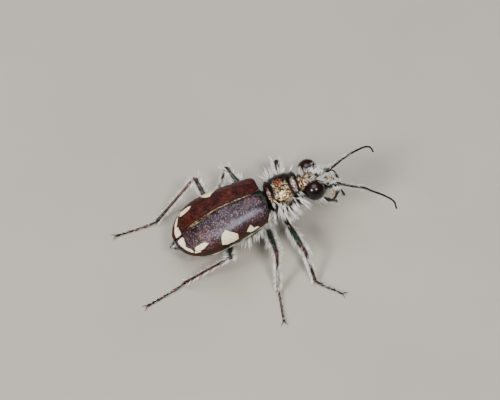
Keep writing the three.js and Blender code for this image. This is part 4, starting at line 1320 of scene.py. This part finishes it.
# %% Feelers
FEELERS = {
    "left": [
        [0.32, -4.9, 5.06], [-0.08, -5.3, 5.36], [0.0, -5.68, 5.45], [0.34, -6.48, 5.42],
        [0.74, -7.34, 5.25], [1.03, -8.16, 5.05], [1.27, -8.85, 4.75], [1.32, -9.3, 4.4],
        [1.13, -9.49, 3.95],
    ],
    "right": [
        [-1.24, -4.9, 5.0], [-1.33, -5.42, 5.1], [-1.47, -5.68, 5.2], [-2.0, -6.4, 5.22],
        [-2.35, -7.22, 5.05], [-2.7, -7.79, 4.78], [-3.07, -8.54, 4.35], [-3.49, -9.16, 3.85],
        [-3.81, -9.3, 3.2],
    ],
}
WHIP = {"Joints": 10.0, "Root": 0.088 * MM, "Tip": 0.058 * MM, "Swell": 0.3, "Material": feeler_black}
BULB = [(0, 0.07), (0.12, 0.12), (0.5, 0.17), (0.85, 0.15), (1, 0.07)]
BULB_SHARE = 0.16
FEELER_STATIONS = 320
# Stations by which the whip is sunk in the bulb, the bulb's step, and how many steps its root is sunk
WHIP_LAP = 4
BULB_STEP = 6
BULB_SINK = 1.2


def whip_path(name, points):
    """An object of points joined in one line."""
    path = object_from(name, carried(points, STANCE), [])
    last = len(points) - 1
    path.data.edges.add(last)
    ends = np.stack([np.arange(last), np.arange(1, last + 1)], axis=1)
    path.data.edges.foreach_set("vertices", ends.ravel())
    return path


for name, points in FEELERS.items():
    line, _, length = route(points, FEELER_STATIONS)
    cut = int(BULB_SHARE * FEELER_STATIONS)
    path = whip_path(f"path_{name}", line[cut - WHIP_LAP :])
    whip = grown(path, jointed_feeler, f"feeler_whip_{name}", WHIP)
    finish_piece(whip, feeler_black, [f"feeler_{name}_inner", f"feeler_{name}_outer"])
    sunk_root = line[0] - BULB_SINK * (line[BULB_STEP] - line[0])
    bulb = tube([sunk_root, *line[:cut:BULB_STEP], line[cut]], BULB, sides=24, stations=60)
    piece(f"feeler_bulb_{name}", [bulb], STANCE, feeler_black, [f"feeler_{name}_scape"])
    print(f"feeler {name}: {length:.2f} mm long")

# %% [markdown]
# ## White bristles
# Flattened white bristles cover the flanks, the hips and the legs and stand out as a fringe, and short
# ones lie on the face. They screen the insect from the heat of the sand. Hair particles would be lost in
# an export, so one Geometry Nodes tree grows a bent, tapered strand of mesh on every root. The roots are
# drawn at random on the skin's own measures, with a fixed seed, and carry their direction, bend and
# length.


# %% A tree that grows bristles on roots
# A strand is 1 long: the height of its bend, its taper, and the size of its patch on the map
STRAND_BEND = 0.55
STRAND_TAPER = {"power": 1.6, "share": 0.9}
STRAND_MAP = 0.003


def bristle_tree():
    """A strand on each point, turned to its lie and droop, with a map named OFBake."""
    sizes = {size: "Float" for size in ("Length", "Width", "Bend", "Unevenness")}
    sizes.update({"Seed": "Int", "Material": "Material"})
    tree, given = new_tree("bristles", sizes)
    node = partial(add_node, tree)

    def vector(x, y, z):
        return node("ShaderNodeCombineXYZ", inputs={0: x, 1: y, 2: z})

    def stored(name, kind="FLOAT_VECTOR"):
        return node("GeometryNodeInputNamedAttribute", {"data_type": kind}, {"Name": name})

    def store(geometry, name, value, kind, domain):
        settings = {"data_type": kind, "domain": domain}
        inputs = {"Geometry": geometry, "Name": name, "Value": value}
        return node("GeometryNodeStoreNamedAttribute", settings, inputs)

    tip = vector(given["Bend"], 0.0, 1.0)
    strand = {"Resolution": 4, "Start": (0, 0, 0), "Middle": (0, 0, STRAND_BEND), "End": tip}
    curve = node("GeometryNodeCurveQuadraticBezier", inputs=strand)
    thinned = node("GeometryNodeSplineParameter") ** STRAND_TAPER["power"] * STRAND_TAPER["share"]
    taper = given["Width"] * (1 - thinned)
    profile = node("GeometryNodeCurvePrimitiveCircle", inputs={"Resolution": 3, "Radius": 1.0})
    sweep = {"Curve": curve, "Profile Curve": profile, "Scale": taper, "Fill Caps": True}
    mesh = node("GeometryNodeCurveToMesh", inputs=sweep)
    mesh = store(mesh, "place", node("GeometryNodeInputPosition"), "FLOAT_VECTOR", "POINT")
    aim = node("FunctionNodeAlignRotationToVector", {"axis": "Z"}, {"Vector": stored("lie")})
    droop = {"Rotation": aim, "Vector": stored("droop")}
    aim = node("FunctionNodeAlignRotationToVector", {"axis": "X", "pivot_axis": "Z"}, droop)
    spread = {2: 1 - given["Unevenness"], 3: 1 + given["Unevenness"], "Seed": given["Seed"]}
    spread = node("FunctionNodeRandomValue", {"data_type": "FLOAT"}, spread, output=1)
    length = stored("size", "FLOAT") * given["Length"] * spread
    scale = vector(length, length, length)
    grown_on = {"Points": given["Geometry"], "Instance": mesh, "Rotation": aim, "Scale": scale}
    whole = node("GeometryNodeInstanceOnPoints", inputs=grown_on)
    whole = node("GeometryNodeRealizeInstances", inputs={0: whole})
    shrink = {0: stored("place"), "Scale": STRAND_MAP}
    shrunk = node("ShaderNodeVectorMath", {"operation": "SCALE"}, shrink)
    across, upwards = [node("ShaderNodeSeparateXYZ", inputs={0: shrunk}, output=axis) for axis in (0, 2)]
    own = {0: stored("root_uv"), 1: vector(across, upwards, 0.0)}
    unrolled = node("ShaderNodeVectorMath", {"operation": "ADD"}, own)
    end_tree(tree, store(whole, "OFBake", unrolled, "FLOAT2", "CORNER"), given["Material"])
    return tree


bristles = bristle_tree()
print("bristle tree:", len(bristles.nodes), "nodes")

# %% [markdown]
# ## Roots on plates, cups and limbs
# A root is a point on a skin, and the skin is known by formula, so its place, its outward way and its
# place on the unrolled skin all come from two numbers: how far along and how far round. Scattering on the
# finished mesh would work too, but formulas can keep to a band, such as the two edges of a thigh.


# %% Roots
# How deep bristles are rooted: millimetres on a plate, and shares of the radius on a cup and a limb
ROOT_DEPTH = 0.03
CUP_SHARE = 0.97
LIMB_SHARE = 0.85
LIMB_STATIONS = 200
# How much roots scatter in a tuft: millimetres along, degrees round, then the tuft's way and each bristle's
TUFT_SCATTER = {"along": 0.03, "around": 1.5, "tuft_way": 0.27, "own_way": 0.1}
LIMB_SCATTER = 0.1
# On a cup: the scatter, the way along and up for 1 outwards, the droop, and half its patch of the map
CUP_SCATTER = 0.55
CUP_WAY = (-0.1, -0.3)
CUP_DROOP = 0.3
CUP_MAP = 0.4


def roots(points, lie, droop, size, unrolled, turn):
    """What each root stores. unrolled is its place on the unrolled skin, from 0 to 1 both ways."""
    return {
        "points": carried(points, turn),
        "lie": unit(turned(lie, turn)),
        "droop": turned(np.broadcast_to(droop, points.shape), turn),
        "root_uv": np.stack([*unrolled, 0 * size], axis=1),
        "size": size,
    }


def plate_roots(rows, turn, seed, count, along, around, lie, droop, size, fan=0.0, tuft=3):
    """Roots on a plate, between two places along it and two angles round it, in degrees.

    They stand in small tufts of one direction. fan spreads the tufts along the plate.
    """
    draw = np.random.default_rng(seed)
    tufts = count // tuft
    own = np.arange(count) % tufts
    y = draw.uniform(*along, tufts)[own] + draw.normal(0, TUFT_SCATTER["along"], count)
    degrees = draw.uniform(*around, tufts)[own] + draw.normal(0, TUFT_SCATTER["around"], count)
    angle = np.radians(degrees)
    points, out = (v[:, 0] for v in section(rows, y, angle[:, None]))
    way = out + lie + draw.normal(0, TUFT_SCATTER["tuft_way"], (tufts, 3))[own]
    way = way + draw.normal(0, TUFT_SCATTER["own_way"], (count, 3))
    way[:, 1] += fan * (2 * (y - along[0]) / (along[1] - along[0]) - 1)
    unrolled = angle / (2 * np.pi) % 1, (y - rows[0][0]) / (rows[-1][0] - rows[0][0])
    return roots(points - ROOT_DEPTH * out, way, droop, draw.uniform(*size, count), unrolled, turn)


def cup_roots(pair, side, turn, seed, count, droop, size):
    """Roots on the outer part of a hip cup."""
    draw = np.random.default_rng(seed)
    centre, half = HIP_CUPS[pair]
    out = unit(draw.normal(0, CUP_SCATTER, (count, 3)) + (side, *CUP_WAY))
    points = np.array(mirrored([centre], side)) + out * np.array(half) * CUP_SHARE
    way = out + CUP_DROOP * np.array(droop)
    unrolled = 0.5 + CUP_MAP * out[:, :2].T
    return roots(points, way, droop, draw.uniform(*size, count), unrolled, turn)


def limb_roots(points, widths, turn, seed, count, along, around, lean, size, flat=1.0, rows=None):
    """Roots on a tube, at shares of its length and round angles in degrees: 0 and 180 are its sides."""
    draw = np.random.default_rng(seed)
    line, way_along, _ = route(points, LIMB_STATIONS)
    beside, deep = tube_frame(line, way_along)
    if rows:
        share = np.tile(np.linspace(*along, rows), count // rows)
    else:
        share = draw.uniform(*along, count)
    angles, scatter = around
    middle = draw.choice(angles, len(share))
    angle = np.radians(middle + draw.normal(0, scatter, len(share)))
    i = (share * (LIMB_STATIONS - 1)).astype(int)
    radius = from_rows(widths, share)[0][:, None]
    out = beside[i] * (np.cos(angle) * flat)[:, None] + deep[i] * np.sin(angle)[:, None]
    way = out + lean * way_along[i] + draw.normal(0, LIMB_SCATTER, out.shape)
    unrolled = angle / (2 * np.pi) % 1, share
    points = line[i] + out * radius * LIMB_SHARE
    return roots(points, way, way_along[i], draw.uniform(*size, len(share)), unrolled, turn)


print("a cup of 3 roots stores:", list(cup_roots("front", 1, BODY, 1, 3, (0, 0, -1), (0.5, 0.9))))

# %% Bristles from roots
# No bristle stands higher than this, in millimetres, and none is shorter than this
TALLEST = 6.12
SHORTEST = 0.1
UNEVENNESS = 0.2
# The margin of each column of the map, and the least rise that the headroom is divided by
COLUMN_MARGIN = 0.05
LEAST_RISE = 0.1
STORED = {"lie": "vector", "droop": "vector", "root_uv": "vector", "size": "value"}


def grow_bristles(name, groups, material, width, bend, seed):
    """One piece of bristles from groups of roots. Each group unrolls into its own column of the map."""
    joined = {key: np.concatenate([g[key] for g in groups]) for key in groups[0]}
    column = np.concatenate([np.full(len(g["size"]), i) for i, g in enumerate(groups)])
    within = COLUMN_MARGIN + (1 - 2 * COLUMN_MARGIN) * joined["root_uv"][:, 0]
    joined["root_uv"][:, 0] = (column + within) / len(groups)
    rise = (1 + UNEVENNESS) * MM * (joined["lie"][:, 2] + bend * joined["droop"][:, 2])
    headroom = TALLEST * MM - joined["points"][:, 2]
    fitting = np.minimum(joined["size"], headroom / np.maximum(rise, LEAST_RISE * MM))
    joined["size"] = np.where(rise > 0, fitting, joined["size"])
    tip_height = joined["points"][:, 2] + joined["size"] * rise
    kept = (tip_height > width * MM) & (joined["size"] > SHORTEST)
    joined = {key: values[kept] for key, values in joined.items()}
    source = object_from(f"{name}_roots", joined["points"], [])
    for key, field in STORED.items():
        kind = "FLOAT_VECTOR" if field == "vector" else "FLOAT"
        stored = source.data.attributes.new(key, kind, "POINT")
        stored.data.foreach_set(field, joined[key].astype(np.float32).ravel())
    values = {"Length": MM, "Width": width, "Bend": bend, "Unevenness": UNEVENNESS, "Seed": seed}
    made = grown(source, bristles, name, {**values, "Material": material})
    for key in STORED:
        if key in made.data.attributes:
            made.data.attributes.remove(made.data.attributes[key])
    print(f"{name}: {len(joined['size'])} bristles")
    return finish_piece(made, material)


def white_finish(name, pale, shade, root):
    """Uneven white, with painted shade at the root."""
    finish = Finish(name)
    share = finish.place()[2]
    base = finish.ramp(finish.noise(3, detail=3), (0.35, shade), (0.6, pale))
    # Painted shade at the root, where the bristles would shade each other
    base = finish.blend(root, base, step(share, 0.0, 0.45))
    return finish.paint(base, 0.4 + finish.noise(8) * 0.2)


white = white_finish("white_bristle", "#fbfaf6", "#cfccc4", "#38342e")
print("bristles end below, mm:", TALLEST)

# %% [markdown]
# ## Where the bristles stand
# The thickest brush stands out from the flanks of the neck shield and the hips below it. Each thigh has a
# fringe along both edges, the middle shin a dense white brush down to the foot, and the hind shins
# regular pale spines. The face is white between the eyes.

# %% White coat of the fore body
# Of each side: the flank and the upper edge of the neck shield, the cheek and the brow as angles, then how
# many bristles the flank has, how long they are, and how many the brow has
FORE_COAT = {
    "right": ((150, 222), (132, 158), (186, 250), (98, 122), 170, (0.55, 0.98), 40),
    "left": ((-42, 30), (22, 48), (-70, -6), (55, 84), 130, (0.35, 0.7), 90),
}
SHIELD_COAT = {"along": (-2.66, -0.4), "droop": (0, -0.3, -1)}
FLANK = {"lie": (0, -0.2, -0.1), "fan": 0.55, "tuft": 5}
EDGE = {"count": 40, "lie": (0, -0.4, -0.7), "size": (0.3, 0.55)}
CHEEK = {
    "count": 130, "along": (-4.75, -3.4), "lie": (0, -0.35, -0.2), "droop": (0, -0.5, -1),
    "size": (0.5, 0.85),
}
BROW = {"along": (-4.5, -3.05), "size": (0.45, 0.75)}
FORE_CUP = {"droop": (0, 0, -1), "size": (0.5, 0.95)}
LEFT_TUFT = {
    "count": 60, "along": (-1.75, -0.75), "around": (-12, 28), "lie": (0.3, 0.1, 0.4),
    "droop": (0.3, 0, 1), "size": (0.55, 0.95), "fan": 0.3,
}
FACE = {
    "count": 230, "along": (-4.8, -3.75), "around": (44, 136), "lie": (0.1, -0.45, 0.0),
    "droop": (0, -1, -0.5), "size": (0.35, 0.65),
}
on_shield = partial(plate_roots, NECK_SHIELD_ROWS, FORE_BODY)
on_head = partial(plate_roots, HEAD_ROWS, FORE_BODY)
fore_groups = []
for name, (flank, edge, cheek, brow, count, size, brow_count) in FORE_COAT.items():
    side = SIDES[name]
    brow_lie = {"lie": (0.5 * side, -0.25, 0.7), "droop": (side, 0, 0)}
    fore_groups += [
        on_shield(4 + side, count, around=flank, size=size, **FLANK, **SHIELD_COAT),
        on_shield(14 + side, around=edge, **EDGE, **SHIELD_COAT),
        on_head(24 + side, around=cheek, **CHEEK),
        on_head(34 + side, brow_count, around=brow, **brow_lie, **BROW),
        cup_roots("front", side, FORE_BODY, 44 + side, count // 2, **FORE_CUP),
    ]
fore_groups += [on_shield(9, **LEFT_TUFT), on_head(3, **FACE)]
grow_bristles("coat_fore_body", fore_groups, white, width=0.042, bend=0.4, seed=1)

# %% White coat of the chest and the belly
# Of each side, the angles of the flank and of the belly's edge
BODY_COAT = {"right": ((186, 235), (190, 215)), "left": ((-55, -6), (-35, -10))}
CHEST = {
    "count": 260, "along": (0.1, 3.3), "lie": (0, 0.15, -0.1), "droop": (0, 0.3, -1), "size": (0.5, 0.9),
}
BELLY = {"count": 130, "along": (3.6, 6.6), "lie": (0, 0.5, 0), "droop": (0, 1, -0.4), "size": (0.35, 0.7)}
BODY_CUP = {"count": 110, "droop": (0, 0.3, -1), "size": (0.4, 0.8)}
body_groups = []
for name, (flank, belly) in BODY_COAT.items():
    side = SIDES[name]
    body_groups += [
        plate_roots(CHEST_ROWS, BODY, 54 + side, around=flank, **CHEST),
        plate_roots(ABDOMEN_ROWS, BODY, 64 + side, around=belly, **BELLY),
        *[cup_roots(pair, side, BODY, 74 + side, **BODY_CUP) for pair in ("middle", "hind")],
    ]
grow_bristles("coat_chest_belly", body_groups, white, width=0.042, bend=0.35, seed=2)

# %% White coat of the legs
# Angles round a limb and the scatter about them: the two edges, and all round
EDGES = ([0, 180], 28)
ALL_ROUND = ([0, 60, 120, 180, 240, 300], 25)
THIGH_FRINGE = {"count": 170, "along": (0.08, 0.99), "around": EDGES, "lean": 0.75, "size": (0.42, 0.72)}
# Shares of the length between which each shin has a brush, and how many bristles it has
SHIN_BRUSH = {"front": ((0.05, 0.5), 90), "middle": ((0.25, 0.96), 170), "hind": ((0.0, 0.12), 40)}
SHIN_BRUSH_LIE = {"around": ALL_ROUND, "lean": 0.9, "size": (0.28, 0.48)}
leg_groups = []
for number, name in enumerate(LEGS):
    lines = leg_lines(name)
    reach, count = SHIN_BRUSH[name.split("_")[0]]
    leg_groups += [
        limb_roots(lines["thigh"], THIGH, STANCE, 50 + number, flat=THIGH_FLAT, **THIGH_FRINGE),
        limb_roots(lines["shin"], SHIN, STANCE, 60 + number, count, along=reach, **SHIN_BRUSH_LIE),
    ]
grow_bristles("coat_legs", leg_groups, white, width=0.04, bend=0.3, seed=3)

# %% Spines of the shins and the feet
SPINE_EDGES = ([0, 180], 8)
FOOT_SIDES = ([25, 155, 90], 12)
SHIN_SPINES = {"count": 44, "along": (0.06, 0.96), "lean": 0.75, "size": (0.3, 0.42), "rows": 22}
FOOT_SPINES = {"count": 40, "along": (0.05, 0.95), "lean": 1.2, "size": (0.12, 0.2)}
FOOT_RADIUS = [(0, 0.08), (1, 0.08)]
spine_groups = []
for number, name in enumerate(LEGS):
    lines = leg_lines(name)
    spine_groups += [
        limb_roots(lines["shin"], SHIN, STANCE, 80 + number, around=SPINE_EDGES, **SHIN_SPINES),
        limb_roots(lines["foot"], FOOT_RADIUS, STANCE, 90 + number, around=FOOT_SIDES, **FOOT_SPINES),
    ]
pale_spine = white_finish("pale_spine", "#fffdf6", "#d8d2c6", "#5a5248")
grow_bristles("shin_spines", spine_groups, pale_spine, width=0.095, bend=0.12, seed=4)

# %% Bristles of the feelers and the palps
FOUR_WAYS = ([0, 90, 180, 270], 30)
FEELER_WIDTHS = [(0, 0.12), (0.16, 0.1), (0.5, 0.07), (1, 0.05)]
ROOT_BRISTLES = {"count": 36, "along": (0.0, 0.14), "around": FOUR_WAYS, "lean": 0.2, "size": (0.35, 0.6)}
WHIP_BRISTLES = {"count": 40, "along": (0.14, 0.5), "around": FOUR_WAYS, "lean": 0.5, "size": (0.16, 0.3)}
PALP_BRISTLES = {"count": 34, "along": (0.3, 0.98), "around": FOUR_WAYS, "lean": 0.7, "size": (0.25, 0.42)}
feeler_groups = []
for number, points in enumerate(FEELERS.values()):
    feeler_groups += [
        limb_roots(points, FEELER_WIDTHS, STANCE, 100 + number, **ROOT_BRISTLES),
        limb_roots(points, FEELER_WIDTHS, STANCE, 104 + number, **WHIP_BRISTLES),
    ]
for number, side in enumerate((-1, 1)):
    palp = mirrored(LOWER_PALP, side)
    feeler_groups.append(limb_roots(palp, PALP_WIDTHS, FORE_BODY, 110 + number, **PALP_BRISTLES))
grow_bristles("feeler_bristles", feeler_groups, white, width=0.065, bend=0.2, seed=5)

# %% [markdown]
# ## Floor and light
# A pale, plain floor shows the long legs and their shadows. The light is a studio's: a large soft panel
# above for the satin sheen on the shells, two smaller ones for the flanks and the eyes, and a soft sky
# all round.


# %% Floor and lamps
def floor_finish():
    finish = Finish("pale_floor", {"Roughness": 0.9})
    base = finish.ramp(finish.noise(0.05, detail=3), (0.3, "#a19b91"), (0.7, "#a9a398"))
    return finish.paint(base)


FLOOR_REACH = 0.6
corners = FLOOR_REACH * np.array([[-1, -1, 0], [1, -1, 0], [1, 1, 0], [-1, 1, 0]], float)
floor = object_from("floor", corners, [(0, 1, 2, 3)])
floor.data.materials.append(floor_finish())

SKY = {"Color": (0.86, 0.92, 1.0, 1), "Strength": 0.12}
world = bpy.data.worlds.new("soft_sky")
bpy.context.scene.world = world
world.use_nodes = True
for socket, value in SKY.items():
    world.node_tree.nodes["Background"].inputs[socket].default_value = value

# Place and sizes in metres, watts and colour
LAMPS = {
    "panel_above": ((0.045, 0.055, 0.38), (0.28, 0.3), 1.25, (0.88, 0.94, 1.0)),
    "panel_side": ((-0.12, 0.3, 0.24), (0.1, 0.1), 1.7, (1.0, 0.97, 0.93)),
    "panel_front": ((-0.2, -0.02, 0.3), (0.07, 0.07), 0.9, (1.0, 0.97, 0.93)),
}
for name, (stand, size, watts, colour) in LAMPS.items():
    panel = bpy.data.lights.new(name, "AREA")
    panel.shape = "RECTANGLE"
    panel.size, panel.size_y = size
    panel.energy = watts
    panel.color = colour
    lamp = bpy.data.objects.new(name, panel)
    aim = seam_front * MM - Vector(stand)
    lamp.matrix_world = Matrix.Translation(stand) @ aim.to_track_quat("-Z", "Y").to_matrix().to_4x4()
    bpy.context.scene.collection.objects.link(lamp)
print("lamps:", len(LAMPS))
